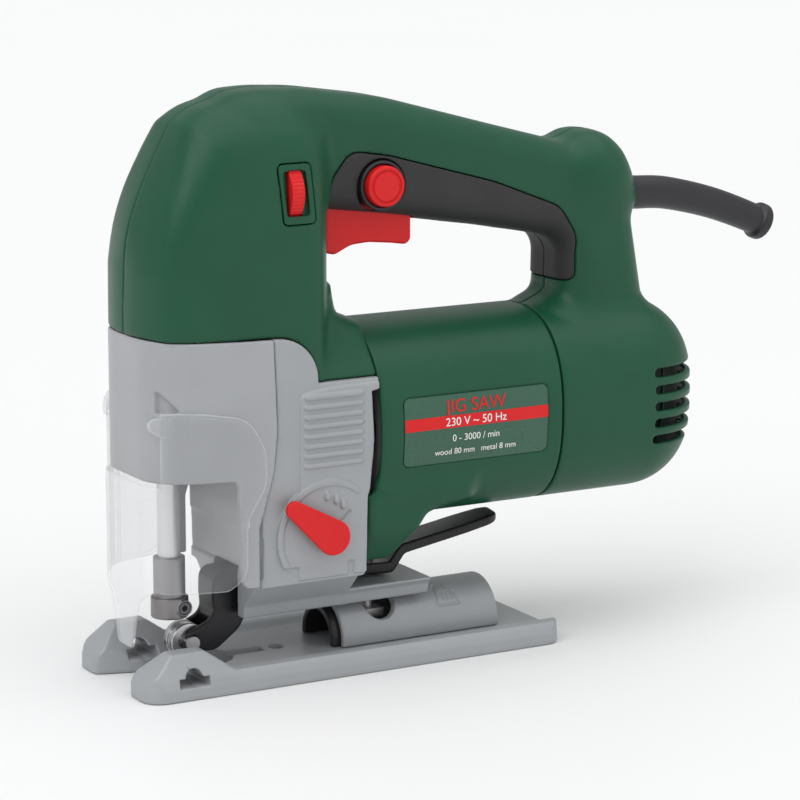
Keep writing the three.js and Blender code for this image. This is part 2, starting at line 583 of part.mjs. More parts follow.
const gearBody = gear(GEAR_TEETH, -Math.PI / 2, GEAR_FRONT, GEAR_BACK, GEAR_Z);
add('drive_gear', cut(gearBody, barX(4.1, [-40, 0], 0, GEAR_Z, 28), barX(3.1, [-40, 0], 0, CRANK_Z, 20)),
  STEEL);
add('crank_pin', barX(3, [-43, -22.4], 0, CRANK_Z, 20), BRIGHT);

// ================= plunger =================
add('plunger_rod', barZ(ROD_RADIUS, [33, 152], PLUNGER_X, 0, 28), BRIGHT);
add('plunger_yoke', cut(box(-65, -46, -14, 14, CRANK_Z - 6, CRANK_Z + 6),
  box(-55, -40, -10.6, 10.6, CRANK_Z - 3.4, CRANK_Z + 3.4),
  barZ(ROD_RADIUS + 0.1, [0, 200], PLUNGER_X, 0, 28)), STEEL);
const clampBody = unite(barZ(5.6, [29.2, 43.4], PLUNGER_X, 0, 28),
  barZ(6.6, [21.7, 29.2], PLUNGER_X, 0, 28));
const SET_SCREW = { x: PLUNGER_X + 2.6, z: 25.6 };
add('blade_clamp', cut(clampBody, barZ(ROD_RADIUS + 0.1, [32.6, 60], PLUNGER_X, 0, 28),
  box(PLUNGER_X - 4, PLUNGER_X + 4, -0.9, 0.9, 10, 32),
  barY(2.3, [-20, 0], SET_SCREW.x, SET_SCREW.z, 16)), STEEL);
add('blade_clamp_screw', cut(barY(2.1, [-6.7, -1.6], SET_SCREW.x, SET_SCREW.z, 16),
  barY(1.2, [-12, -4.6], SET_SCREW.x, SET_SCREW.z, 6)), DARK_STEEL);
add('lower_guide', cut(box(-70, -50, -13, 13, 79, 89),
  barZ(ROD_RADIUS + 0.1, [60, 100], PLUNGER_X, 0, 28)), COPPER);
add('upper_guide', cut(box(-67, -52, -12, 12, 140, 150),
  barZ(ROD_RADIUS + 0.1, [100, 200], PLUNGER_X, 0, 28)), COPPER);

// ================= pendulum arm, roller and orbit selector =================
const armSide = rounded([
  [-58.2, 12.4, 3.6], [-56, 9, 3.4], [-45, 8.8, 6], [-36, 15.5, 8], [-30, 26, 6], [-25.4, 36, 5],
  [-25.4, 45.6, 5], [-34.6, 45.6, 5], [-34.6, 37, 1], [-45.9, 37, 5], [-46.2, 28, 6], [-45.5, 20.6, 6],
  [-55, 16.6, 3],
]);
const roller = cut(barY(ROLLER.radius, [-3.6, 3.6], ROLLER.x, ROLLER.z, 28),
  barY(2.6, [-9, 9], ROLLER.x, ROLLER.z, 20));
add('pendulum_arm', cut(side(armSide, -6.4, 6.4),
  box(-70, -46.4, -4.1, 4.1, 0, 24), barY(2.6, [-9, 9], PENDULUM_PIVOT.x, PENDULUM_PIVOT.z, 20),
  barY(2.6, [-9, 9], ROLLER.x, ROLLER.z, 20)), DARK_STEEL);
add('guide_roller', roller, BRIGHT);
add('roller_pin', barY(2.5, [-7.4, 7.4], ROLLER.x, ROLLER.z, 20), STEEL);
add('pendulum_pin', barY(2.5 - GAP, [-27, 27], PENDULUM_PIVOT.x, PENDULUM_PIVOT.z, 14), STEEL);
const leverSide = taper(ORBIT, 6.3, { x: -28, z: 62.6 }, 3.2);
add('orbit_lever', unite(side(leverSide, -34.4, -31.3), barY(4, [-31.4, -6], ORBIT.x, ORBIT.z, 24)), RED);
add('orbit_cam', cut(barY(7, [-20, -8], ORBIT.x, ORBIT.z, 24), barY(4.1, [-25, 0], ORBIT.x, ORBIT.z, 24),
  box(-10, 0, -25, 0, 40, 70)), STEEL);

// ================= sole =================
const half = SOLE_WIDTH / 2;
const halfLength = SOLE_LENGTH / 2;
const solePlan = rounded([
  [-halfLength, -half, 7], [halfLength, -half, 6], [halfLength, half, 6], [-halfLength, half, 7],
  [-halfLength, 14.5, 3], [-67, 9.6, 6],
  [-37, 9.6, 9], [-37, -9.6, 9], [-67, -9.6, 6], [-halfLength, -14.5, 3],
]);
const toeSide = rounded([[-halfLength, -1], [-halfLength, 5.6, 1], [-72, TOE_TOP, 1], [-60, TOE_TOP, 1],
  [-49, RAIL_TOP], [-46, 4], [-46, -1]]);
const toeFront = rounded([[half, -1], [half, 6, 1], [26.4, TOE_TOP, 1], [20.6, TOE_TOP, 1],
  [10.6, 5.2, 1], [9.6, -1]]);
const toe = side(toeSide, 5, 40).intersect(front(toeFront, -90, -40)).intersect(plan(solePlan, 0, 20));
const railFront = [[half, 1], [half, 6], [half - 1.4, RAIL_TOP], [half - 5.6, RAIL_TOP],
  [half - 10.6, 4.8], [half - 10.6, 1]];
const rail = front(rounded(railFront), -60, halfLength).intersect(plan(solePlan, 0, 20));
const clipSlot = unite(box(-70.8, -59.4, 9, 40, SOLE_FLOOR, 7.6), barY(3.2, [9, 40], -65.1, 7.6, 16));
const oneSide = cut(unite(toe, rail), clipSlot);
const otherSide = oneSide.mirror([0, 1, 0]);
const floor = plan(solePlan, 0, SOLE_FLOOR);
add('sole_plate', cut(unite(floor, oneSide, otherSide), box(-40, -24, -2.4, 2.4, 3, 8),
  barZ(2.6, [3, 9], -18.5, 0, 16)), GREY);
const SADDLE_FRONT = 0.8;
const saddleArc = (radius) => barX(radius, [SADDLE_FRONT, 65], 0, TILT_AXIS_Z, 48);
add('bevel_saddle', cut(saddleArc(SADDLE_RADIUS).intersect(box(-10, 80, -30, 30, SOLE_FLOOR + GAP, 40)),
  barX(SADDLE_RADIUS - 2.4, [-9, 61.6], 0, TILT_AXIS_Z, 48).intersect(box(-10, 80, -30, 30, 0, 40)),
  barY(SADDLE_SLOT.radius, [-20, 20], CLAMP_X, SADDLE_SLOT.z, 24)), GREY);
const ductBlank = barX(12.3, [-2, 10], 0, TILT_AXIS_Z, 32)
  .intersect(box(-20, 20, -30, 30, SOLE_FLOOR + GAP, 40));
add('dust_duct', cut(ductBlank,
  barX(9.4, [-20, 20], 0, TILT_AXIS_Z, 32)), BLACK);
add('clamp_screw', unite(barZ(2.6, [14, 34.6], CLAMP_X, 0, 20),
  box(CLAMP_X - 3.9, CLAMP_X + 3.9, -6, 6, 12.6, 15.4)), STEEL);
const leverBar = rounded([
  [-8, 28.4], [8, 28.4, 3], [12.4, 35.2, 3], [49, 44.2, 2], [48.4, 47.3, 1], [10.8, 38.6, 3],
  [6.6, 32.6, 2], [-8, 32.6],
]);
const leverPlan = rounded([
  [-8, -8, 7.9], [10, -7.6, 4], [36, -8, 4], [49, -7, 6], [49, 7, 6], [36, 8, 4], [10, 7.6, 4],
  [-8, 8, 7.9],
]);
const lever = cut(side(leverBar, -9, 9).intersect(plan(leverPlan, 20, 60)), barZ(2.7, [20, 40], 0, 0, 20));
add('base_lever', lever.rotate([0, 0, -11]).translate([CLAMP_X, 0, 0]), DARK_STEEL);

// ================= blade guard =================
const guardPlan = rounded(mirroredPlan([
  [-82.4, 5], [-76.5, 16, 10], [-72.1, 23.4, 10], [-65, 27.7, 16], [-50.2, 31.2, 40], [-34, 32.3, 60],
  [-20, 32.3],
]));
const GUARD_FRONT_X = -77.3;
const GUARD_WALL = 1.2;
const guardSide = rounded([
  [-90, 10], [-72, 10], [-70, 36], [-52, 36, 6], [-44.8, 41, 8], [-44.8, 60, 6], [-37.6, 72, 9],
  [-37.6, 84, 10],
  [-44, 96, 12], [-60, 98.6, 20], [-90, 99.5],
]);
const guardFront = rounded(mirrored([
  [33, 110], [33, 36], [18, 36, 6], [10.5, 30.5, 6], [7.8, 23, 4], [6, 13.6, 2.5],
]));
const guardOuter = plan(guardPlan, 10, 99.5).intersect(box(GUARD_FRONT_X, 0, -50, 50, 0, 110));
const guardInner = plan(inset(guardPlan, GUARD_WALL), 0, 110)
  .intersect(box(GUARD_FRONT_X + GUARD_WALL, 0, -50, 50, -5, 120));
const guardWall = cut(guardOuter, guardInner);
let guard = guardWall.intersect(side(guardSide, -50, 50)).intersect(front(guardFront, -100, 0));
guard = cut(guard, box(-90, -72, -21.5, 21.5, 73, 110));
add('blade_guard', guard, CLEAR);

// ================= cord guard =================
const cordPath = new THREE.CatmullRomCurve3([
  [122, 157.8], [132, 157.7], [143, 157], [155.5, 154.4], [167.5, 151], [179.5, 146.6], [190, 142.2],
].map(([x, z]) => new THREE.Vector3(x, 0, z)));
function hose(radius, sides, steps, path) {
  const ring = Array.from({ length: sides }, (_, i) => new THREE.Vector2(
    radius * Math.cos((2 * Math.PI * i) / sides), radius * Math.sin((2 * Math.PI * i) / sides)));
  return solid(new THREE.ExtrudeGeometry(new THREE.Shape(ring),
    { steps, bevelEnabled: false, extrudePath: path }));
}
const lastPoint = cordPath.getPoint(1);
const lastWay = cordPath.getTangent(1);
const boreEnd = lastPoint.clone().addScaledVector(lastWay, 8);
const borePath = new THREE.CatmullRomCurve3([new THREE.Vector3(112, 0, 157.8), ...cordPath.points,
  boreEnd]);
const collarTurn = new THREE.Quaternion().setFromUnitVectors(new THREE.Vector3(0, 1, 0), lastWay);
const collar = solid(new THREE.CylinderGeometry(7, 7, 5, 24).applyQuaternion(collarTurn)
  .translate(...lastPoint.clone().addScaledVector(lastWay, -2.5).toArray()));
add('cord_guard', cut(unite(hose(6.2, 14, 12, cordPath), collar), hose(3.4, 8, 14, borePath)), BLACK);

export default jigsaw;
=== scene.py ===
"""Looks of the jigsaw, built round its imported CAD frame. Lengths in the shape code are millimetres."""
import json
import math

import bmesh
import bpy
import numpy as np
import openvdb
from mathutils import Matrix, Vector


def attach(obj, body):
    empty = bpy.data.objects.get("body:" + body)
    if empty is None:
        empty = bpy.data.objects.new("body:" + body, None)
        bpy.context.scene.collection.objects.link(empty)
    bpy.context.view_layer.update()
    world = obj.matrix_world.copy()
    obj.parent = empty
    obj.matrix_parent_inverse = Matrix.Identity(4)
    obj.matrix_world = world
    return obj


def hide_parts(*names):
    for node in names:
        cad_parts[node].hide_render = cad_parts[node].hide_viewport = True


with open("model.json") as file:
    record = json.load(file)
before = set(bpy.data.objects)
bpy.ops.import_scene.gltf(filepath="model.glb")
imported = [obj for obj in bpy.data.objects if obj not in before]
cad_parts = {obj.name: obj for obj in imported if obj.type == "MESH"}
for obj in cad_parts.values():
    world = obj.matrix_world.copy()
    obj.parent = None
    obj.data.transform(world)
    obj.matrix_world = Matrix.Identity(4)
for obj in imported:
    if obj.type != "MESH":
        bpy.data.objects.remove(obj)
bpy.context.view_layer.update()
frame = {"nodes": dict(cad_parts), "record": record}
MM = 0.001
COARSE = 1.0

# ---------------------------------------------------------------- driving sizes, the same as the CAD's
GAP = 0.3
MOTOR_Z = 85.0
BARREL = (32.3, 35.8, 2.4)  # half width, half height, squareness
BARREL_FRONT, BARREL_REAR, CAP_END = 7.3, 81.0, 148.0
FOOT_END = 7.0  # rear face of the nose's foot, just ahead of the barrel
SHELL_WALL = 2.6
GRIP_HALF = 17.0
INLAY_SKIN = 2.5
SPLIT = 0.15  # each half shell stops this far from the middle plane
COVER_WALL, COVER_FRONT_X = 2.4, -75.7
GUARD_WALL, GUARD_FRONT_X = 1.2, -77.3
PLUNGER_X = -60.0
ROD_HOLE = 4.1
SET_SCREW = (PLUNGER_X + 2.6, 25.6)  # x, z
DIAL = (-23.4, -19.0, 170.5)
DIAL_RADIUS = 10.5
BUTTON = (15.1, 169.8, 7.2)  # x, z, radius
TRIGGER_HALF = 9.8
TRIGGER_SLOT_HALF = 10.4
ORBIT = (-12.9, 51.2)  # x, z
ORBIT_DISC = 20.0
ROLLER = (-54.5, 12.6, 6.5)  # x, z, radius
PENDULUM = (-30.0, 41.0)  # x, z
PIN_HOLE = 2.6
TILT_Z = 6.6  # height of the sole's tilting axis
SADDLE_RADIUS, SADDLE_WALL, SADDLE_FRONT = 15.0, 2.4, 0.8
SLOT_RADIUS, SLOT_Z = 6.2, 19.2  # the cut in the saddle that the clamp screw passes through
CLAMP_X = 18.0
LEVER_TURN = -11  # degrees
CORD_BORE = 3.4

# ---------------------------------------------------------------- driving sizes of the view
VIEW_TURN, VIEW_RISE = math.radians(29.5), math.radians(11.4)
VIEW_DISTANCE = 1.1467
VIEW_TARGET = (0.03221, 0.0, 0.0893)
LENS = 144


# ---------------------------------------------------------------- outlines
def unit(v):
    return v / max(1e-9, float(np.hypot(*v)))


def rounded(corners, turn_step=0.16):
    """Corners (a, b) are sharp, (a, b, radius) are rounded as far as the edges beside them allow."""
    at = [np.array(c[:2], float) for c in corners]
    points = []
    for i, corner in enumerate(corners):
        here, radius = at[i], corner[2] if len(corner) > 2 else 0.0
        if radius == 0:
            points.append(here)
            continue
        before, after = at[i - 1] - here, at[(i + 1) % len(at)] - here
        reach = 0.47 * min(np.hypot(*before), np.hypot(*after))
        before, after = unit(before), unit(after)
        half = math.acos(float(np.clip(before @ after, -1, 1))) / 2
        fitted = max(0.02, min(radius, reach * math.tan(half)))
        centre = here + unit(before + after) * fitted / math.sin(half)
        start = here + before * fitted / math.tan(half) - centre
        end = here + after * fitted / math.tan(half) - centre
        sweep = math.atan2(start[0] * end[1] - start[1] * end[0], float(start @ end))
        steps = max(2, math.ceil(abs(sweep) / turn_step))
        for k in range(steps + 1):
            c, s = math.cos(sweep * k / steps), math.sin(sweep * k / steps)
            points.append(centre + np.array([c * start[0] - s * start[1], s * start[0] + c * start[1]]))
    return np.array(points)


def smooth(points, per_span=6):
    """A closed Catmull-Rom line through the points."""
    p = np.array(points, float)
    out = []
    for i in range(len(p)):
        a, b, c, d = p[i - 1], p[i], p[(i + 1) % len(p)], p[(i + 2) % len(p)]
        for k in range(per_span):
            t = k / per_span
            bend = (2 * a - 5 * b + 4 * c - d) * t**2 + (3 * b - a - 3 * c + d) * t**3
            out.append(0.5 * (2 * b + (c - a) * t + bend))
    return np.array(out)


def arc(centre, radius, start, end, steps=12):
    """Points on an arc, its angles in degrees."""
    turns = [math.radians(start + (end - start) * k / steps) for k in range(steps + 1)]
    return [(centre[0] + radius * math.cos(t), centre[1] + radius * math.sin(t)) for t in turns]


def taper(a, radius_a, b, radius_b):
    """Outline of two circles and their outer tangents."""
    way = math.degrees(math.atan2(b[1] - a[1], b[0] - a[0]))
    lean = math.degrees(math.acos((radius_a - radius_b) / math.dist(a, b)))
    small_end = arc(b, radius_b, way - lean, way + lean)
    large_end = arc(a, radius_a, way + lean, way - lean + 360, 20)
    return np.array(small_end + large_end)


def both_sides(points, axis=0):
    """The points, then their mirror images in reverse order."""
    other = [tuple(-v if i == axis else v for i, v in enumerate(p)) for p in points]
    return list(points) + other[::-1]


# ---------------------------------------------------------------- distance fields
class Space:
    """A box of space sampled on a grid; its methods give signed distances, negative inside."""

    def __init__(self, low, high, step):
        self.step = step * COARSE
        self.low = np.array(low, float) - 2 * self.step
        count = np.ceil((np.array(high, float) + 2 * self.step - self.low) / self.step).astype(int) + 1
        x, y, z = (self.low[i] + self.step * np.arange(count[i]) for i in range(3))
        self.x = x[:, None, None].astype(np.float32)
        self.y = y[None, :, None].astype(np.float32)
        self.z = z[None, None, :].astype(np.float32)

    def outline(self, points, u, v):
        """Distance to a closed outline in the plane of u and v."""
        u, v = np.broadcast_arrays(u, v)
        nearest = np.full(u.shape, 1e12, np.float32)
        inside = np.zeros(u.shape, bool)
        for (ax, ay), (bx, by) in zip(points, np.roll(points, -1, axis=0)):
            ex, ey = bx - ax, by - ay
            wx, wy = u - ax, v - ay
            t = np.clip((wx * ex + wy * ey) / (ex * ex + ey * ey + 1e-12), 0, 1)
            nearest = np.minimum(nearest, (wx - ex * t) ** 2 + (wy - ey * t) ** 2)
            slope = ex / ey if abs(ey) > 1e-9 else 0.0
            inside ^= ((ay > v) != (by > v)) & (u < slope * (v - ay) + ax)
        return np.where(inside, -1, 1) * np.sqrt(nearest)

    def side(self, points):
        return self.outline(points, self.x, self.z)

    def plan(self, points):
        return self.outline(points, self.x, self.y)

    def front(self, points):
        return self.outline(points, self.y, self.z)

    def slab(self, axis, low, high):
        values = (self.x, self.y, self.z)[axis]
        return np.abs(values - (low + high) / 2) - (high - low) / 2

    def box(self, x0, x1, y0, y1, z0, z1, r=0.0):
        d = meet(self.slab(0, x0, x1), self.slab(1, y0, y1), r)
        return meet(d, self.slab(2, z0, z1), r)

    def rod(self, axis, radius, centre):
        """An endless cylinder; centre is its two coordinates across the axis, in x, y, z order."""
        u, v = [w for i, w in enumerate((self.x, self.y, self.z)) if i != axis]
        return np.hypot(u - centre[0], v - centre[1]) - radius

    def bar(self, axis, radius, low, high, centre, r=0.0):
        return meet(self.rod(axis, radius, centre), self.slab(axis, low, high), r)

    def barrel(self, grow=0.0):
        """The motor barrel's squarish section, endless along X."""
        a, b, n = BARREL
        y, z = np.abs(self.y), np.abs(self.z - MOTOR_Z)
        k = ((y / (a + grow)) ** n + (z / (b + grow)) ** n) ** (1 / n)
        near = np.maximum(k, 0.05)
        return np.where(k < 0.05, -(a + grow), np.hypot(y, z) * (1 - 1 / near))

    def hose(self, points, radius):
        """A round tube along points in the middle plane; radius may differ from point to point."""
        radii = np.broadcast_to(radius, len(points))
        best = None
        for (ax, az), (bx, bz), ra, rb in zip(points, points[1:], radii, radii[1:]):
            ex, ez = bx - ax, bz - az
            t = np.clip(((self.x - ax) * ex + (self.z - az) * ez) / (ex * ex + ez * ez), 0, 1)
            across = np.hypot(self.x - ax - t * ex, self.z - az - t * ez)
            d = np.hypot(across, self.y) - (ra + t * (rb - ra))
            best = d if best is None else np.minimum(best, d)
        return best

    def sample(self, values, points):
        """Values of a field at points, and the field's slope there."""
        def at(p):
            p = (p - self.low) / self.step
            cell = np.clip(np.floor(p).astype(int), 0, np.array(values.shape) - 2)
            t = (p - cell).astype(np.float32)
            total = np.zeros(len(p), np.float32)
            for corner in np.ndindex(2, 2, 2):
                weight = np.prod(np.where(corner, t, 1 - t), axis=1)
                total += weight * values[tuple((cell + corner).T)]
            return total
        h = 0.6 * self.step
        slope = np.stack([at(points + h * e) - at(points - h * e) for e in np.eye(3)], axis=1) / (2 * h)
        return at(points), slope

    def mesh(self, name, field, adapt=0.0):
        """A Blender object of the field's zero surface, with normals from the field's slope."""
        shape = (self.x.size, self.y.size, self.z.size)
        values = np.ascontiguousarray(np.broadcast_to(field, shape), dtype=np.float32)
        band = 3 * self.step
        grid = openvdb.FloatGrid(band)
        grid.copyFromArray(np.clip(values, -band, band))
        points, triangles, quads = grid.convertToPolygons(isovalue=0.0, adaptivity=adapt)
        points = points.astype(float) * self.step + self.low
        for _ in range(2):  # two small steps bring the points onto the true surface
            value, slope = self.sample(values, points)
            steep = np.maximum((slope**2).sum(1), 0.2)
            move = slope * (value / steep)[:, None]
            length = np.linalg.norm(move, axis=1, keepdims=True) + 1e-9
            points -= move * np.minimum(1, 0.4 * self.step / length)
        _, slope = self.sample(values, points)
        normals = slope / (np.linalg.norm(slope, axis=1, keepdims=True) + 1e-9)
        faces = [tuple(f) for f in quads.tolist()] + [tuple(f) for f in triangles.tolist()]
        if not faces:
            raise ValueError(f"{name} has no surface")
        probe = np.array([f[:3] for f in faces[:: max(1, len(faces) // 500)]])
        a, b, c = points[probe[:, 0]], points[probe[:, 1]], points[probe[:, 2]]
        if (np.cross(b - a, c - a) * normals[probe[:, 0]]).sum() < 0:
            faces = [f[::-1] for f in faces]
        thing = new_object(name, points * MM, faces)
        thing.data.normals_split_custom_set_from_vertices(normals.tolist())
        return thing


def meet(a, b, r=0.0):
    """Intersection, its edge rounded to radius r."""
    if np.ndim(r) == 0 and r == 0:
        return np.maximum(a, b)
    return np.minimum(-r, np.maximum(a, b)) + np.hypot(np.maximum(a + r, 0), np.maximum(b + r, 0))


def join(a, b, r=0.0):
    """Union, its corner filled to radius r."""
    if r == 0:
        return np.minimum(a, b)
    return np.maximum(r, np.minimum(a, b)) - np.hypot(np.maximum(r - a, 0), np.maximum(r - b, 0))


def cut(a, b, r=0.0):
    return meet(a, -b, r)


def new_object(name, points, faces):
    mesh = bpy.data.meshes.new(name)
    mesh.from_pydata([tuple(p) for p in points], [], faces)
    mesh.polygons.foreach_set("use_smooth", [True] * len(mesh.polygons))
    thing = bpy.data.objects.new(name, mesh)
    bpy.context.scene.collection.objects.link(thing)
    return thing


def place(thing, body, slot, *nodes):
    """Gives a piece its body and its material, by slot; it stands for the CAD nodes named."""
    thing.data.materials.clear()
    thing.data.materials.append(SLOTS[slot])
    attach(thing, body)
    if nodes:
        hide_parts(*nodes)
    return thing


# ---------------------------------------------------------------- materials
def material(name, color, roughness, metallic=0.0, grain=0.3, grain_size=0.4, tone=0.06, mottle=20.0,
             rough_spread=0.06, specular=0.5):
    """A moulded, cast or ground surface: mottled colour and fine grain, sizes in millimetres."""
    made = bpy.data.materials.new(name)
    made.use_nodes = True
    tree = made.node_tree
    shader = tree.nodes["Principled BSDF"]
    place_in = tree.nodes.new("ShaderNodeTexCoord")

    def noise(size, detail):
        node = tree.nodes.new("ShaderNodeTexNoise")
        node.inputs["Scale"].default_value = 1 / (size * MM)
        node.inputs["Detail"].default_value = detail
        tree.links.new(place_in.outputs["Object"], node.inputs["Vector"])
        return node

    def spread(source, low, high, a=0.3, b=0.7):
        node = tree.nodes.new("ShaderNodeMapRange")
        node.inputs["From Min"].default_value, node.inputs["From Max"].default_value = a, b
        node.inputs["To Min"].default_value, node.inputs["To Max"].default_value = low, high
        tree.links.new(source, node.inputs["Value"])
        return node.outputs["Result"]

    broad = noise(mottle, 3)
    fine = noise(grain_size, 2)
    mix = tree.nodes.new("ShaderNodeMix")
    mix.data_type = "RGBA"
    mix.inputs["A"].default_value = (*[c * (1 - tone) for c in color], 1)
    mix.inputs["B"].default_value = (*[min(1, c * (1 + tone)) for c in color], 1)
    tree.links.new(spread(broad.outputs["Fac"], 0, 1), mix.inputs["Factor"])
    tree.links.new(mix.outputs["Result"], shader.inputs["Base Color"])
    roughened = spread(fine.outputs["Fac"], roughness - rough_spread, roughness + rough_spread)
    tree.links.new(roughened, shader.inputs["Roughness"])
    bump = tree.nodes.new("ShaderNodeBump")
    bump.inputs["Strength"].default_value = grain
    bump.inputs["Distance"].default_value = 0.05 * MM
    tree.links.new(fine.outputs["Fac"], bump.inputs["Height"])
    tree.links.new(bump.outputs["Normal"], shader.inputs["Normal"])
    shader.inputs["Metallic"].default_value = metallic
    shader.inputs["Specular IOR Level"].default_value = specular
    return made


LOOKS = {
    "green_plastic": dict(color=(0.008, 0.075, 0.036), roughness=0.4, grain=0.35, grain_size=0.5, tone=0.05,
                          specular=0.3),
    "grey_alloy": dict(color=(0.34, 0.355, 0.37), roughness=0.42, metallic=0.1, grain=0.5, grain_size=0.7,
                       tone=0.03),
    "grey_cover": dict(color=(0.35, 0.36, 0.375), roughness=0.36, grain=0.3, grain_size=0.5, tone=0.03),
    "red_plastic": dict(color=(0.66, 0.010, 0.012), roughness=0.38, grain=0.15, tone=0.05, specular=0.3),
    "soft_grip": dict(color=(0.022, 0.021, 0.022), roughness=0.62, grain=0.8, grain_size=0.35, tone=0.12),
    "black_rubber": dict(color=(0.012, 0.012, 0.016), roughness=0.42, grain=0.4, grain_size=0.5, tone=0.12),
    "black_plastic": dict(color=(0.014, 0.014, 0.016), roughness=0.4, grain=0.4, tone=0.1),
    "ground_steel": dict(color=(0.55, 0.55, 0.56), roughness=0.28, metallic=1, grain=0.2, grain_size=0.3,
                         tone=0.06),
    "grey_steel": dict(color=(0.27, 0.26, 0.265), roughness=0.4, metallic=0.85, grain=0.5, grain_size=0.4,
                       tone=0.08),
    "black_steel": dict(color=(0.013, 0.013, 0.015), roughness=0.33, metallic=0.3, grain=0.4,
                        grain_size=0.5, tone=0.15),
    "laminated_iron": dict(color=(0.16, 0.165, 0.17), roughness=0.5, metallic=0.8, grain=0.5, tone=0.1),
    "copper": dict(color=(0.5, 0.22, 0.08), roughness=0.35, metallic=0.9, grain=0.3, tone=0.1),
    "carbon": dict(color=(0.02, 0.02, 0.022), roughness=0.7, grain=0.6, tone=0.1),
    "label_film": dict(color=(0.028, 0.10, 0.060), roughness=0.3, grain=0.15, tone=0.04),
    "white_ink": dict(color=(0.8, 0.8, 0.78), roughness=0.5, grain=0.1, tone=0.02),
}
SLOTS = {name: material(name, **look) for name, look in LOOKS.items()}


def clear_plastic():
    """Clear moulded plastic: see-through face on, milky and shiny towards its edges."""
    made = material("clear_plastic", (0.80, 0.82, 0.84), 0.14, grain=0.015, grain_size=6.0, tone=0.02,
                    rough_spread=0.0)
    tree = made.node_tree
    shader = tree.nodes["Principled BSDF"]
    output = next(n for n in tree.nodes if n.type == "OUTPUT_MATERIAL")
    see = tree.nodes.new("ShaderNodeBsdfTransparent")
    edge = tree.nodes.new("ShaderNodeLayerWeight")
    edge.inputs["Blend"].default_value = 0.25
    spread = tree.nodes.new("ShaderNodeMapRange")
    spread.inputs["To Min"].default_value = 0.05
    spread.inputs["To Max"].default_value = 0.7
    tree.links.new(edge.outputs["Facing"], spread.inputs["Value"])
    mix = tree.nodes.new("ShaderNodeMixShader")
    tree.links.new(spread.outputs["Result"], mix.inputs["Fac"])
    tree.links.new(see.outputs["BSDF"], mix.inputs[1])
    tree.links.new(shader.outputs["BSDF"], mix.inputs[2])
    tree.links.new(mix.outputs["Shader"], output.inputs["Surface"])
    return made


SLOTS["clear_plastic"] = clear_plastic()

# ---------------------------------------------------------------- outlines shared by several pieces
NOSE_SIDE = rounded([
    (-76.2, 96), (-76, 130, 400), (-75.4, 146, 120), (-74.2, 158.5, 60), (-69.4, 171.8, 60),
    (-57.6, 194.4, 7), (-50, 199.5, 24), (-40, 203, 60), (-24, 205.2, 80), (-9, 204.2, 60), (6, 202),
    (6, 96),
])
NOSE_PLAN = rounded(both_sides([
    (-84, 2), (-75.4, 16, 10), (-71.2, 22.8, 10), (-64.5, 26.8, 16), (-50, 30.3, 40), (-34, 31.4, 60),
    (-14.4, 30.4, 9), (-6.2, 16.5, 3),
], axis=1))
NOSE_FRONT = smooth(both_sides([
    (31.4, 60), (31.4, 122), (31.2, 140), (30.4, 157), (29, 173), (26, 187), (20, 198), (9, 205.4),
]))
GRIP_SIDE = rounded([
    (-40, 203, 6), (-14, 204.5, 60), (20, 199.6, 80), (66, 187.2, 60), (91, 180.6, 10), (97.5, 179.2, 10),
    (103, 181.6, 8), (108, 182, 12), (113.5, 180, 12), (118.5, 175, 12), (123, 167, 12), (126.2, 157.5, 7),
    (123.7, 150.5, 8), (128.4, 124, 10), (131, 100), (86.5, 100), (87.5, 120.6, 3), (92.6, 125, 6),
    (93, 145.2, 9), (76, 148.7, 30), (57, 152.3, 40), (36, 155.7, 30), (20, 158.2, 10), (-4, 161.4, 10),
    (-40, 160, 8),
])
FOOT_SIDE = rounded([
    (-20, 104), (FOOT_END, 104), (FOOT_END, 121.4), (-1.6, 126.5, 6), (-3.9, 137), (-20, 137),
])
LOWER_EDGE = rounded([
    (-90, 40), (-90, 123.6), (-60, 122.5, 60), *arc((-32, 106.2), 15.8, 90, 0), (-16.2, 105.5),
    (BARREL_FRONT, 105.5), (BARREL_FRONT, 40),
])
INLAY_SIDE = rounded([
    (-5.2, 163.3, 1), (-5, 172, 8), (3.4, 182.2, 7), (19, 179.6, 40), (61, 168, 60), (88.4, 157.4, 12),
    (96.6, 146, 12), (96.6, 129.5, 3), (80, 129.5), (80, 140), (50, 146), (20, 150),
])
TRIGGER_SLOT = rounded([(-3.6, 140), (31.8, 140), (31.8, 171, 2), (-3.6, 171, 2)])
DIAL_WINDOW = rounded([(-30, 180.6, 1.6), (-17.6, 180.6, 1.6), (-15.8, 160.2, 1.6), (-28.2, 160.2, 1.6)])
DIAL_RECESS = rounded([(-28.3, 178.2, 1), (-19.5, 178.2, 1), (-18.2, 162.9, 1), (-27, 162.9, 1)])
SCREW_SPOTS = [  # x, z and the depth y of the screw's seat
    (-58, 178, 17), (-32, 136, 24), (3, 193, 8), (60, 177, 11), (106, 170, 11), (114, 132, 11),
    (136, 98, 20), (93, 57, 17),
]
BULB = (107.5, 164.5, 14.5, 18.3, 15.5)  # the swelling at the grip's rear: x, z, then its three half sizes
VENT_FOOT, VENT_PITCH, VENT_HEIGHT = 69.3, 6.2, 3.2


# ---------------------------------------------------------------- upper housing
def nose(space):
    softness = 6 + 18 * np.clip((space.z - 145) / 50, 0, 1)
    form = meet(space.side(NOSE_SIDE), space.plan(NOSE_PLAN), softness)
    return meet(form, space.front(NOSE_FRONT), 9)


def grip(space, half=GRIP_HALF, edge=11.0):
    return meet(space.side(GRIP_SIDE), np.abs(space.y) - half, edge)


def rear_cap(space):
    return meet(meet(space.barrel(), space.x - CAP_END, 26), BARREL_REAR + GAP - space.x, 0.8)


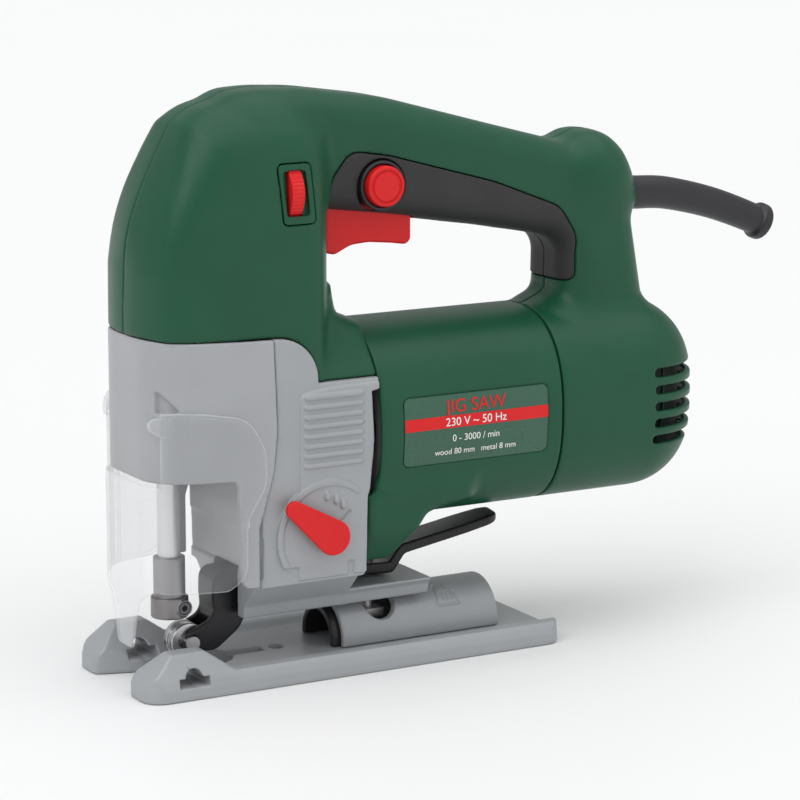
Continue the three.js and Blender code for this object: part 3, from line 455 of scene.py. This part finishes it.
def clamshell(space):
    """The solid form of both upper shells together."""
    foot = meet(space.barrel(), space.slab(0, -20, FOOT_END), 0.4)
    foot = meet(foot, space.slab(2, 100, 132))
    ramp = meet(space.side(FOOT_SIDE), np.abs(space.y) - 20, 8)
    x, z, half_x, half_y, half_z = BULB
    bulb = np.sqrt(((space.x - x) / half_x) ** 2 + (space.y / half_y) ** 2 + ((space.z - z) / half_z) ** 2)
    upper = join(nose(space), grip(space), 6)
    upper = join(upper, (bulb - 1) * half_x, 7)
    upper = join(upper, meet(join(foot, ramp, 7), space.x - FOOT_END, 0.4), 3)
    return join(upper, rear_cap(space), 5)


def shell(space, left):
    """One upper half shell, hollow, with its openings."""
    outer = clamshell(space)
    hollow = np.minimum(nose(space), rear_cap(space)) + SHELL_WALL
    hollow = np.minimum(hollow, np.maximum(grip(space) + 6, np.abs(space.y) - 11))
    body = cut(outer, hollow, 1)
    for x, z, seat in [] if left else SCREW_SPOTS:
        body = join(body, np.maximum(space.rod(1, 5.2, (x, z)), outer))
        body = cut(body, space.bar(1, 3.5, seat - 0.2, 60, (x, z)), 0.3)
        body = cut(body, space.bar(1, 1.9, seat - 8.4, seat, (x, z)))
    body = cut(body, space.side(LOWER_EDGE), 0.4)
    body = cut(body, meet(space.barrel(GAP), space.slab(0, BARREL_FRONT - GAP, BARREL_REAR + 0.6)), 0.4)
    body = cut(body, np.maximum(space.side(TRIGGER_SLOT), np.abs(space.y) - TRIGGER_SLOT_HALF), 0.4)
    body = cut(body, space.bar(0, 6.6, 120, 150, (0, 157.6)), 0.6)
    for i in range(5):
        low = VENT_FOOT + VENT_PITCH * i
        slot = meet(space.slab(0, 121, 170), space.slab(2, low, low + VENT_HEIGHT), 1.5)
        body = cut(body, np.maximum(slot, 11 - np.abs(space.y)), 0.4)
    recess = np.maximum(space.side(INLAY_SIDE) - GAP, -(grip(space) + INLAY_SKIN + GAP))
    body = cut(body, recess, 0.3)
    if left:
        body = cut(body, np.maximum(space.side(DIAL_WINDOW) - GAP, space.y + 10), 0.3)
        body = cut(body, np.maximum(space.rod(1, BUTTON[2] + 1.9, BUTTON[:2]), space.y + 13))
        body = cut(body, np.maximum(space.rod(1, BUTTON[2] + GAP, BUTTON[:2]), space.y))
        return meet(body, space.y + SPLIT, 0.35)
    return meet(body, SPLIT - space.y, 0.35)


def make_upper_housing():
    for name, left, y in (("left", True, (-34, 0)), ("right", False, (0, 34))):
        space = Space((-78, y[0], 47), (150, y[1], 207), 0.75)
        half = space.mesh(f"{name}_shell", shell(space, left), 0.01)
        place(half, "housing", "green_plastic", f"{name}_handle_shell")
        space = Space((-6, y[0] / 2, 125), (100, y[1] / 2, 186), 0.45)
        pad = meet(grip(space) - 0.35, space.side(INLAY_SIDE), 0.6)
        pad = cut(pad, grip(space) + INLAY_SKIN, 0.2)
        pad = meet(pad, space.y + SPLIT if left else SPLIT - space.y, 0.25)
        pad = cut(pad, np.maximum(space.side(TRIGGER_SLOT), np.abs(space.y) - TRIGGER_SLOT_HALF), 0.4)
        if left:
            pad = cut(pad, space.rod(1, BUTTON[2] + 2.1, BUTTON[:2]), 0.3)
        for x, z, seat in [] if left else SCREW_SPOTS:
            pad = cut(pad, space.rod(1, 3.5, (x, z)), 0.4)
        place(space.mesh(f"{name}_grip_pad", pad, 0.01), "housing", "soft_grip", f"{name}_grip_inlay")
    space = Space((-32, -34, 157), (-14, -14, 184), 0.3)
    bezel = meet(nose(space), space.side(DIAL_WINDOW), 0.35)
    bezel = cut(bezel, nose(space) + 5)
    bezel = cut(bezel, np.maximum(space.side(DIAL_RECESS), -(nose(space) + SHELL_WALL)), 0.3)
    bezel = cut(bezel, space.bar(0, DIAL_RADIUS + 0.5, DIAL[0] - 2.7, DIAL[0] + 2.7, DIAL[1:]), 0.2)
    place(space.mesh("dial_bezel", bezel), "housing", "green_plastic", "dial_frame")


# ---------------------------------------------------------------- controls
def make_controls():
    space = Space((-27, -31, 158), (-20, -7, 183), 0.25)
    wheel = space.bar(0, DIAL_RADIUS, DIAL[0] - 2.4, DIAL[0] + 2.4, DIAL[1:], 0.6)
    turn = np.arctan2(space.z - DIAL[2], space.y - DIAL[1])
    wheel = wheel + 0.16 * (1 + np.cos(48 * turn)) * (np.abs(space.x - DIAL[0]) < 2.0)
    wheel = cut(wheel, space.rod(0, 2.2, DIAL[1:]))
    place(space.mesh("speed_wheel", wheel), "speed_dial", "red_plastic", "speed_dial")

    space = Space((7, -23, 161), (24, -12, 179), 0.3)
    x, z, radius = BUTTON
    button = space.bar(1, radius, -21.4, -13, (x, z), 1.0)
    groove = cut(space.bar(1, radius - 1.4, -30, -20.8, (x, z)), space.rod(1, radius - 2.1, (x, z)))
    button = cut(button, groove, 0.2)
    place(space.mesh("lock_on_button", button), "lock_button", "red_plastic", "lock_button")
    space = Space((5, -19, 159), (26, -12, 181), 0.3)
    ring = space.bar(1, radius + 1.6, -18.6, -13.4, (x, z), 0.7)
    ring = cut(ring, space.rod(1, radius + GAP, (x, z)), 0.4)
    place(space.mesh("button_ring", ring), "housing", "black_plastic", "button_bezel")

    space = Space((-5, -11, 143), (33, 11, 165), 0.35)
    outline = rounded([
        (-3.3, 163.4), (-3.3, 146.4, 1.2), (1, 145.4, 3), (7.5, 148.4, 9), (14.5, 148.9, 14),
        (24, 147.9, 12), (29.6, 147, 2.4), (31.4, 148.8, 2), (31.4, 163.4),
    ])
    lever = meet(space.side(outline), np.abs(space.y) - TRIGGER_HALF, 1.4)
    place(space.mesh("trigger_key", lever), "trigger", "red_plastic", "trigger")


# ---------------------------------------------------------------- motor housing
CHIN_SIDE = rounded([
    (3, 63, 1), (3, 35.5, 1), (17.2, 35.5, 4), (25, 46.4, 8), (28.4, 53.2, 5), (36, 56, 8), (46, 58),
    (46, 66), (8, 66), (8, 63),
])
CHIN_FRONT = rounded(both_sides([(30, 74), (28, 50, 12), (19, 35.6, 6)]))
PLATE = rounded([(16, 72, 2.5), (75, 72, 2.5), (75, 96.7, 2.5), (16, 96.7, 2.5)])


def make_motor_housing():
    space = Space((2, -34, 35), (83, 34, 122), 0.7)
    tube = meet(space.barrel(), space.slab(0, BARREL_FRONT, BARREL_REAR), 0.7)
    chin = meet(space.side(CHIN_SIDE), space.front(CHIN_FRONT), 4)
    chin = meet(chin, 3 - space.x, 0.5)
    body = join(tube, chin, 5)
    body = cut(body, space.barrel(-SHELL_WALL), 0.3)
    body = cut(body, np.maximum(meet(space.front(CHIN_FRONT), 38.5 - space.z) + 2.4, space.x - 27), 0.3)
    seat = np.maximum(space.side(PLATE) - GAP, space.y)
    body = cut(body, np.maximum(seat, -(space.barrel(-0.8))), 0.25)
    place(space.mesh("motor_barrel", body, 0.01), "housing", "green_plastic", "motor_housing")

    space = Space((15, -34, 71), (76, -28, 98), 0.3)
    plate = meet(meet(space.side(PLATE), space.barrel(-0.35), 0.25), -space.barrel(-0.75))
    place(space.mesh("rating_plate", plate, 0.02), "housing", "label_film", "nameplate")


def barrel_side(z, lift):
    """Y of the barrel's left surface at height z."""
    a, b, n = BARREL
    return -(a + lift) * (1 - (abs(z - MOTOR_Z) / (b + lift)) ** n) ** (1 / n)


def onto_barrel(mesh, x, z, lift):
    """Bends a flat mesh, in millimetres, onto the barrel's left side at x, z."""
    for v in mesh.vertices:
        across, up, out = v.co
        v.co = Vector((x + across, barrel_side(z + up, lift + out), z + up)) * MM
    thing = bpy.data.objects.new(mesh.name, mesh)
    bpy.context.scene.collection.objects.link(thing)
    return thing


def plate_stripe():
    flat = bmesh.new()
    bmesh.ops.create_cube(flat, size=1)
    bmesh.ops.scale(flat, vec=(58.5, 4.4, 0.16), verts=flat.verts)
    bmesh.ops.subdivide_edges(flat, edges=flat.edges, cuts=7, use_grid_fill=True)
    mesh = bpy.data.meshes.new("rating_stripe")
    flat.to_mesh(mesh)
    flat.free()
    place(onto_barrel(mesh, 45.5, 86.9, -0.32), "housing", "red_plastic")


def plate_text(words, x, z, height, slot):
    """Generic words on the rating plate, bent to the barrel."""
    line = bpy.data.curves.new(f"words_{len(bpy.data.curves)}", "FONT")
    line.body = words
    line.size = height
    line.align_x = "CENTER"
    line.extrude = 0.05
    flat = bpy.data.objects.new("flat_words", line)
    bpy.context.scene.collection.objects.link(flat)
    bpy.context.view_layer.update()
    mesh = bpy.data.meshes.new_from_object(flat)
    bpy.data.objects.remove(flat)
    mesh.name = f"plate_words_{len(bpy.data.meshes)}"
    place(onto_barrel(mesh, x, z, -0.2), "housing", slot)


# ---------------------------------------------------------------- gear housing and its cover
HOUSING_SIDE = rounded([
    (-38.2, 34.6), (2.7, 34.6, 1.5), (2.7, 62), (3.6, 66, 6), (5.2, 83, 40), (3.9, 100.6),
    (FOOT_END, 101.2), (FOOT_END, 105.2), (-16.5, 105.2), *arc((-32, 106.2), 15.5, 0, 90), (-33.7, 121.7),
    (-33, 104, 60), (-32.5, 90, 40), (-33.8, 77, 30), (-36, 68.4, 14), (-38.2, 60.5, 8),
])
HOUSING_FRONT = rounded(both_sides([(30.2, 130), (30, 100, 30), (28.6, 50, 30), (28, 38.6), (28, 30)]))
FLANGE_FRONT = rounded(both_sides([(28, 38.4, 1), (15, 25.4, 2), (13.9, 20.8, 0.8)]))
REAR_FLANGE_FRONT = rounded(both_sides([(17, 27.2, 0.8), (14.8, 25, 1), (13.9, 20.8, 0.8)]))
PANEL = rounded([
    (-24, 36), (-24, 102, 3), (-12, 103.4, 3), (FOOT_END, 103.8), (FOOT_END, 64), (3, 64), (3, 36),
    (-2.3, 36), (-2.3, 60), (-4.6, 60), (-4.6, 36),
])


def make_gear_housing():
    space = Space((-39, -34, 13), (37, 34, 123), 0.5)
    left = space.y < 0
    skin = space.front(HOUSING_FRONT)
    body = meet(space.side(HOUSING_SIDE), skin, 0.7)
    panel = meet(space.side(PANEL), skin - 0.8, 0.5)
    body = join(body, meet(panel, space.side(HOUSING_SIDE), 0.5), 0.3)
    disc = meet(space.rod(1, ORBIT_DISC, ORBIT), skin - 1.5, 0.4)
    disc = meet(disc, np.maximum(space.x + 1.2, 41 - space.z), 0.4)
    body = join(body, np.where(left, disc, 50), 0.3)
    body = cut(body, np.where(left, meet(space.rod(1, ORBIT_DISC - 2.4, ORBIT), -(skin - 1.0)), 50), 0.3)
    for i in range(8):  # the ribs on the side panels
        line = np.hypot(np.maximum(np.abs(space.x + 11.1) - 10.7, 0), space.z - 76.6 - 3.45 * i) - 0.95
        body = join(body, meet(line, skin - 1.7, 0.6), 0.35)
    for x, z in ((-13.7, 65.4), (-10.1, 63.9), (-7.4, 61.9)):  # the selector's raised dots
        dot = (np.hypot((space.x - x) / 1.1, (space.z - z) / 1.8) - 1) * 1.1
        body = join(body, np.where(left, meet(dot, skin - 2.1, 0.5), 50), 0.3)
    slant = (space.x + 6.4) * 0.72 - (space.z - 57) * 0.69
    tick = meet(np.abs(slant) - 0.5, space.rod(1, 3, (-6.4, 57)), 0.2)
    body = cut(body, np.where(left, meet(tick, -(skin - 0.3)), 50), 0.2)
    flange = meet(space.front(FLANGE_FRONT), space.slab(0, -38.2, 2.7), 0.6)
    rear = meet(space.front(REAR_FLANGE_FRONT), space.slab(0, 0, 36), 0.5)
    body = join(join(body, meet(flange, space.z - 38.4), 0.6), rear, 0.5)
    body = cut(body, space.box(-60, 5.6, -25.6, 25.6, 75, 100.8))
    body = cut(body, space.box(-35.6, 5.6, -25.6, 25.6, 40, 76))
    body = cut(body, space.box(-60, -11, -25.6, 25.6, 90, 160))
    body = cut(body, space.box(-60, -24, -9, 9, 10, 38.6), 0.5)
    body = cut(body, space.box(-35.6, -24, -9, 9, 30, 50))
    body = cut(body, space.box(-60, -37.6, -50, 50, 38.4, 52.6), 0.3)
    body = cut(body, space.rod(0, 15.8, (0, TILT_Z)), 0.4)
    body = cut(body, space.rod(2, 3.0, (CLAMP_X, 0)), 0.3)
    body = cut(body, np.maximum(space.rod(1, 4.3, ORBIT), space.y), 0.3)
    body = cut(body, space.bar(1, 2.3, -27.3, 27.3, PENDULUM), 0.3)
    place(space.mesh("gear_case", body, 0.01), "housing", "grey_alloy", "gear_housing")


COVER_PLAN = rounded(both_sides([
    (-82, 3), (-75, 15.2, 10), (-70.8, 22.2, 10), (-64.2, 26.1, 16), (-50, 29.6, 40), (-34, 30.7, 60),
    (-20, 30.7),
], axis=1))
COVER_SIDE = rounded([
    (-90, 74), (-47.4, 74, 2), (-46, 36, 4), (-39.8, 36), (-39.8, 57, 3), (-38.5, 60.6, 5),
    (-36.3, 68.4, 14), (-34.1, 77, 30), (-32.8, 90, 40), (-33.3, 104, 60), (-34, 121.7), (-60, 122.2, 60),
    (-90, 123.3),
])
GUARD_PLAN = rounded(both_sides([
    (-82.4, 5), (-76.5, 16, 10), (-72.1, 23.4, 10), (-65, 27.7, 16), (-50.2, 31.2, 40), (-34, 32.3, 60),
    (-20, 32.3),
], axis=1))
GUARD_SIDE = rounded([
    (-90, 10), (-72, 10), (-70, 36), (-52, 36, 6), (-44.8, 41, 8), (-44.8, 60, 6), (-37.6, 72, 9),
    (-37.6, 84, 10), (-44, 96, 12), (-60, 98.6, 20), (-90, 99.5),
])
GUARD_FRONT = rounded(both_sides([
    (33, 110), (33, 36), (18, 36, 6), (10.5, 30.5, 6), (7.8, 23, 4), (6, 13.6, 2.5),
]))
RECESS = rounded([(-73, 106.5, 0.5), (-66.4, 98.8, 0.5), (-73, 98.2, 0.5)])


def make_front_cover():
    space = Space((-78, -32, 35), (-31, 32, 123), 0.5)
    plan = meet(space.plan(COVER_PLAN), COVER_FRONT_X - space.x, 2)
    wall = cut(plan, plan + COVER_WALL)
    body = meet(wall, space.side(COVER_SIDE), 0.5)
    pocket = np.maximum(space.side(RECESS), -(plan + 1.9))
    body = cut(body, np.maximum(pocket, 18 - np.abs(space.y)), 0.3)
    place(space.mesh("nose_cover", body, 0.01), "housing", "grey_cover", "front_cover")


def make_guard():
    space = Space((-80, -34, 12), (-36, 34, 101), 0.4)
    plan = meet(space.plan(GUARD_PLAN), GUARD_FRONT_X - space.x, 2)
    wall = cut(plan, plan + GUARD_WALL)
    body = meet(meet(wall, space.side(GUARD_SIDE), 0.5), space.front(GUARD_FRONT), 0.4)
    body = cut(body, meet(space.box(-90, -72, -21.5, 21.5, 73, 110), 50 - space.z), 0.4)
    away = np.abs(space.y)
    rib = np.maximum(np.abs(space.side(GUARD_SIDE) + 0.9) - 0.5, np.maximum(36.5 - space.z, 28 - away))
    for x in (-68.7, -65.4):
        upright = np.maximum(np.abs(space.x - x) - 0.35, np.maximum(37 - space.z, space.z - 73))
        rib = np.minimum(rib, upright)
    body = join(body, np.maximum(np.maximum(rib, plan - 0.4), -(plan + 0.6)), 0.3)
    for x, z, radius in ((-72.3, 94, 3.2), (-46.2, 59.3, 1.9)):
        boss = np.maximum(space.rod(1, radius, (x, z)), np.maximum(plan - 0.7, -(plan + 0.8)))
        body = join(body, np.maximum(boss, 16 - away), 0.4)
    place(space.mesh("clear_guard", body, 0.01), "housing", "clear_plastic", "blade_guard")


# ---------------------------------------------------------------- blade drive
def make_drive():
    space = Space((-68, -9, 20), (-52, 9, 45), 0.3)
    clamp = space.bar(2, 5.6, 28, 43.4, (PLUNGER_X, 0), 0.6)
    clamp = join(clamp, space.bar(2, 6.6, 21.7, 29.2, (PLUNGER_X, 0), 0.6), 0.4)
    clamp = cut(clamp, cut(space.slab(2, 29.6, 30.1), space.rod(2, 6.1, (PLUNGER_X, 0))), 0.1)
    clamp = join(clamp, space.bar(1, 2.9, -7.1, 0, SET_SCREW, 0.4), 0.4)
    clamp = cut(clamp, space.bar(2, ROD_HOLE, 32.6, 60, (PLUNGER_X, 0)), 0.4)
    clamp = cut(clamp, space.box(PLUNGER_X - 4, PLUNGER_X + 4, -0.9, 0.9, 10, 32), 0.2)
    clamp = cut(clamp, space.bar(1, 2.3, -20, 0, SET_SCREW), 0.3)
    place(space.mesh("clamp_body", clamp, 0.01), "plunger", "grey_steel", "blade_clamp")

    space = Space((-60, -8, 7), (-24, 8, 48), 0.4)
    arm = rounded([
        (-58.2, 12.4, 3.6), (-56, 9, 3.4), (-45, 8.8, 6), (-36, 15.5, 8), (-30, 26, 6), (-25.4, 36, 5),
        (-25.4, 45.6, 5), (-34.6, 45.6, 5), (-34.6, 37, 1), (-45.9, 37, 5), (-46.2, 28, 6),
        (-45.5, 20.6, 6), (-55, 16.6, 3),
    ])
    body = meet(space.side(arm), np.abs(space.y) - 6.4, 0.8)
    body = cut(body, space.box(-70, -46.4, -4.1, 4.1, 0, 24), 0.4)
    body = cut(body, space.rod(1, PIN_HOLE, PENDULUM), 0.3)
    body = cut(body, space.rod(1, PIN_HOLE, ROLLER[:2]), 0.3)
    place(space.mesh("pendulum_fork", body, 0.01), "pendulum", "black_steel", "pendulum_arm")

    space = Space((-62, -4, 5), (-47, 4, 20), 0.3)
    wheel = space.bar(1, ROLLER[2], -3.6, 3.6, ROLLER[:2], 0.5)
    wheel = cut(wheel, cut(space.bar(1, 9, -0.9, 0.9, ROLLER[:2]), space.rod(1, 5.7, ROLLER[:2])), 0.3)
    wheel = cut(wheel, space.rod(1, PIN_HOLE, ROLLER[:2]), 0.3)
    place(space.mesh("roller_wheel", wheel), "roller", "ground_steel", "guide_roller")

    space = Space((-32, -35, 44), (-5, -5, 67), 0.3)
    knob = meet(space.side(taper(ORBIT, 6.3, (-28, 62.6), 3.2)), space.slab(1, -34.4, -31.9), 0.8)
    knob = join(knob, space.bar(1, 4, -33, -6, ORBIT, 0.3), 0.4)
    place(space.mesh("orbit_knob", knob, 0.01), "orbit_selector", "red_plastic", "orbit_lever")


# ---------------------------------------------------------------- sole
SOLE_HALF = 31.0
SOLE_END = 82.5
SOLE_PLAN = rounded([
    (-SOLE_END, -SOLE_HALF, 8), (SOLE_END, -SOLE_HALF, 6), (SOLE_END, SOLE_HALF, 6),
    (-SOLE_END, SOLE_HALF, 8), (-SOLE_END, 14.5, 3), (-67, 9.6, 6), (-37, 9.6, 9), (-37, -9.6, 9),
    (-67, -9.6, 6), (-SOLE_END, -14.5, 3),
])
TOE_SIDE = rounded([
    (-SOLE_END, -9), (-SOLE_END, 5.6, 1), (-72, 16, 1), (-60, 16, 1), (-49, 8.2), (-46, 4), (-46, -9),
])
TOE_FRONT = rounded([(31, -9), (31, 6, 1), (26.4, 16, 1), (20.6, 16, 1), (10.6, 5.2, 1), (9.6, -9)])
RAIL_FRONT = rounded([(31, -9), (31, 6), (29.6, 8.2, 0.5), (25.4, 8.2, 2), (20.4, 4.8), (20.4, -9)])

SCALE_FRAME = rounded([(41, 14.8, 0.6), (50.4, 14.8, 0.6), (47.8, 20.2, 3), (41.8, 20.2, 1)])


def make_sole():
    space = Space((-83.5, -32, -0.4), (83.5, 32, 17), 0.5)
    plan = space.plan(SOLE_PLAN)
    away = np.abs(space.y)
    body = meet(plan, space.slab(2, 0, 5), 0.5)
    toe = meet(space.side(TOE_SIDE), space.outline(TOE_FRONT, away, space.z), 0.8)
    toe = meet(meet(toe, plan, 0.8), -space.z, 0.5)
    rail = meet(space.outline(RAIL_FRONT, away, space.z), np.maximum(-60 - space.x, -space.z), 0.4)
    rail = meet(rail, plan, 0.6)
    body = join(join(body, rail, 0.8), toe, 0.8)
    clip = meet(space.slab(0, -70.8, -59.4), space.slab(2, 4.5, 7.6))
    clip = np.minimum(clip, space.rod(1, 3.2, (-65.1, 7.4)))
    body = cut(body, np.maximum(clip, 9 - away), 0.3)
    body = cut(body, space.box(-40, -24, -2.4, 2.4, 3, 8, 0.4), 0.3)
    body = cut(body, space.bar(2, 2.6, 3, 9, (-18.5, 0)), 0.5)
    body = cut(body, space.box(-100, 100, -40, 40, -1, 0))
    place(space.mesh("sole_casting", body, 0.01), "sole", "grey_alloy", "sole_plate")

    space = Space((-11, -16, 5), (66, 16, 22.5), 0.45)
    saddle = space.bar(0, SADDLE_RADIUS, SADDLE_FRONT, 65, (0, TILT_Z), 0.6)
    saddle = cut(saddle, space.bar(0, SADDLE_RADIUS - SADDLE_WALL, -9, 61.6, (0, TILT_Z)), 0.3)
    saddle = meet(saddle, 5.3 - space.z, 0.2)
    saddle = cut(saddle, space.rod(1, SLOT_RADIUS, (CLAMP_X, SLOT_Z)), 0.3)
    frame_line = np.abs(space.side(SCALE_FRAME)) - 0.3
    for i in range(4):
        scale_line = np.maximum(np.abs(space.x - 44 - 1.8 * i) - 0.25, space.slab(2, 16.6, 18.6))
        frame_line = np.minimum(frame_line, scale_line)
    outside = space.rod(0, SADDLE_RADIUS, (0, TILT_Z))
    saddle = cut(saddle, np.maximum(np.maximum(frame_line, space.y + 1), -(outside + 0.45)), 0.1)
    place(space.mesh("saddle", saddle, 0.01), "sole", "grey_alloy", "bevel_saddle")

    space = Space((-3, -14, 5), (11, 14, 21), 0.4)
    duct = cut(space.bar(0, 12.3, -2, 10, (0, TILT_Z), 1.2), space.rod(0, 9.4, (0, TILT_Z)), 0.6)
    duct = meet(duct, 5.3 - space.z, 0.2)
    place(space.mesh("dust_mouth", duct, 0.01), "sole", "black_plastic", "dust_duct")


def make_base_lever():
    space = Space((8, -20, 27), (68, 10, 51), 0.4)
    turn = math.radians(LEVER_TURN)
    turned = Space((0, 0, 0), (1, 1, 1), 1)  # the same grid in the turned lever's own directions
    turned.x = (space.x - CLAMP_X) * math.cos(turn) + space.y * math.sin(turn)
    turned.y = -(space.x - CLAMP_X) * math.sin(turn) + space.y * math.cos(turn)
    turned.z = space.z
    bar = rounded([
        (-8, 28.4), (8, 28.4, 3), (12.4, 35.2, 3), (49, 44.2, 2), (48.4, 47.3, 1), (10.8, 38.6, 3),
        (6.6, 32.6, 2), (-8, 32.6),
    ])
    plan = rounded([
        (-8, -8, 7.9), (10, -7.6, 4), (36, -8, 4), (49, -7, 6), (49, 7, 6), (36, 8, 4), (10, 7.6, 4),
        (-8, 8, 7.9),
    ])
    body = meet(turned.side(bar), turned.plan(plan), 0.7)
    body = cut(body, space.rod(2, 2.7, (CLAMP_X, 0)), 0.3)
    place(space.mesh("clamp_lever", body, 0.01), "base_lever", "black_steel", "base_lever")


def make_cord_guard():
    space = Space((112, -9, 134), (196, 9, 168), 0.45)
    stops = [
        (122, 157.8), (132, 157.7), (143, 157), (155.5, 154.4), (167.5, 151), (179.5, 146.6), (190, 142.2),
    ]
    per_span = 6
    path = smooth(stops + stops[-1:], per_span)[: (len(stops) - 1) * per_span + 1]  # without the way back
    sleeve = space.hose(path, np.linspace(6.3, 5.6, len(path)))
    way = unit(path[-1] - path[-4])
    along = (space.x - path[-1][0]) * way[0] + (space.z - path[-1][1]) * way[1]
    sleeve = meet(sleeve, along, 0.6)
    collar = np.hypot((space.x - path[-1][0]) * way[1] - (space.z - path[-1][1]) * way[0], space.y) - 7.0
    sleeve = join(sleeve, meet(collar, np.abs(along + 2.2) - 2.2, 1.3), 0.8)
    bore = space.hose([path[0] - (9, 0)] + list(path) + [path[-1] + 9 * way], CORD_BORE)
    place(space.mesh("cord_sleeve", cut(sleeve, bore, 0.5), 0.01), "housing", "black_rubber", "cord_guard")


make_upper_housing()
make_controls()
make_motor_housing()
plate_stripe()
plate_text("JIG SAW", 45, 90.2, 6.6, "red_plastic")
plate_text("230 V ~ 50 Hz", 45, 85.4, 4.2, "white_ink")
plate_text("0 - 3000 / min", 45, 79.8, 3.4, "white_ink")
plate_text("wood 80 mm   metal 8 mm", 45, 75.2, 3.0, "white_ink")
make_gear_housing()
make_front_cover()
make_guard()
make_drive()
make_sole()
make_base_lever()
make_cord_guard()

for node, thing in frame["nodes"].items():
    slots = [m for m in frame["record"]["materials"] if node in m.get("nodes", [])]
    if slots and slots[0]["slot"] in SLOTS:
        thing.data.materials.clear()
        thing.data.materials.append(SLOTS[slots[0]["slot"]])

# ---------------------------------------------------------------- floor, light and camera
floor_mesh = bpy.data.meshes.new("floor")
floor_shape = bmesh.new()
bmesh.ops.create_grid(floor_shape, x_segments=8, y_segments=8, size=14.0)
floor_shape.to_mesh(floor_mesh)
floor_shape.free()
floor = bpy.data.objects.new("floor", floor_mesh)
bpy.context.scene.collection.objects.link(floor)
floor.location.z = -0.0002
paint = material("floor_paint", (0.86, 0.865, 0.87), 0.55, grain=0.05, tone=0.004, mottle=400)
floor_mesh.materials.append(paint)


def sun(name, come_from, spread, power):
    """A far soft light; spread is its width in degrees."""
    light = bpy.data.lights.new(name, "SUN")
    light.energy = power
    light.angle = math.radians(spread)
    thing = bpy.data.objects.new(name, light)
    thing.rotation_euler = Vector(come_from).to_track_quat("Z", "Y").to_euler()
    bpy.context.scene.collection.objects.link(thing)


sun("key", (-0.9, -0.35, 1.0), 50, 1.1)
sun("top", (0.1, -0.1, 1.0), 70, 1.1)
sun("fill", (0.9, -1.0, 0.5), 60, 0.35)
world = bpy.data.worlds.new("studio")
bpy.context.scene.world = world
world.use_nodes = True
world.node_tree.nodes["Background"].inputs["Color"].default_value = (1, 1, 1, 1)
world.node_tree.nodes["Background"].inputs["Strength"].default_value = 0.55
bpy.context.scene.view_settings.view_transform = "Standard"

lens = bpy.data.cameras.new("camera")
lens.lens = LENS
lens.sensor_width = 36
lens.clip_end = 20
camera = bpy.data.objects.new("camera", lens)
away = Vector((-math.sin(VIEW_TURN), -math.cos(VIEW_TURN), math.tan(VIEW_RISE))).normalized()
camera.location = Vector(VIEW_TARGET) + VIEW_DISTANCE * away
camera.rotation_euler = (-away).to_track_quat("-Z", "Y").to_euler()
bpy.context.scene.collection.objects.link(camera)
bpy.context.scene.camera = camera
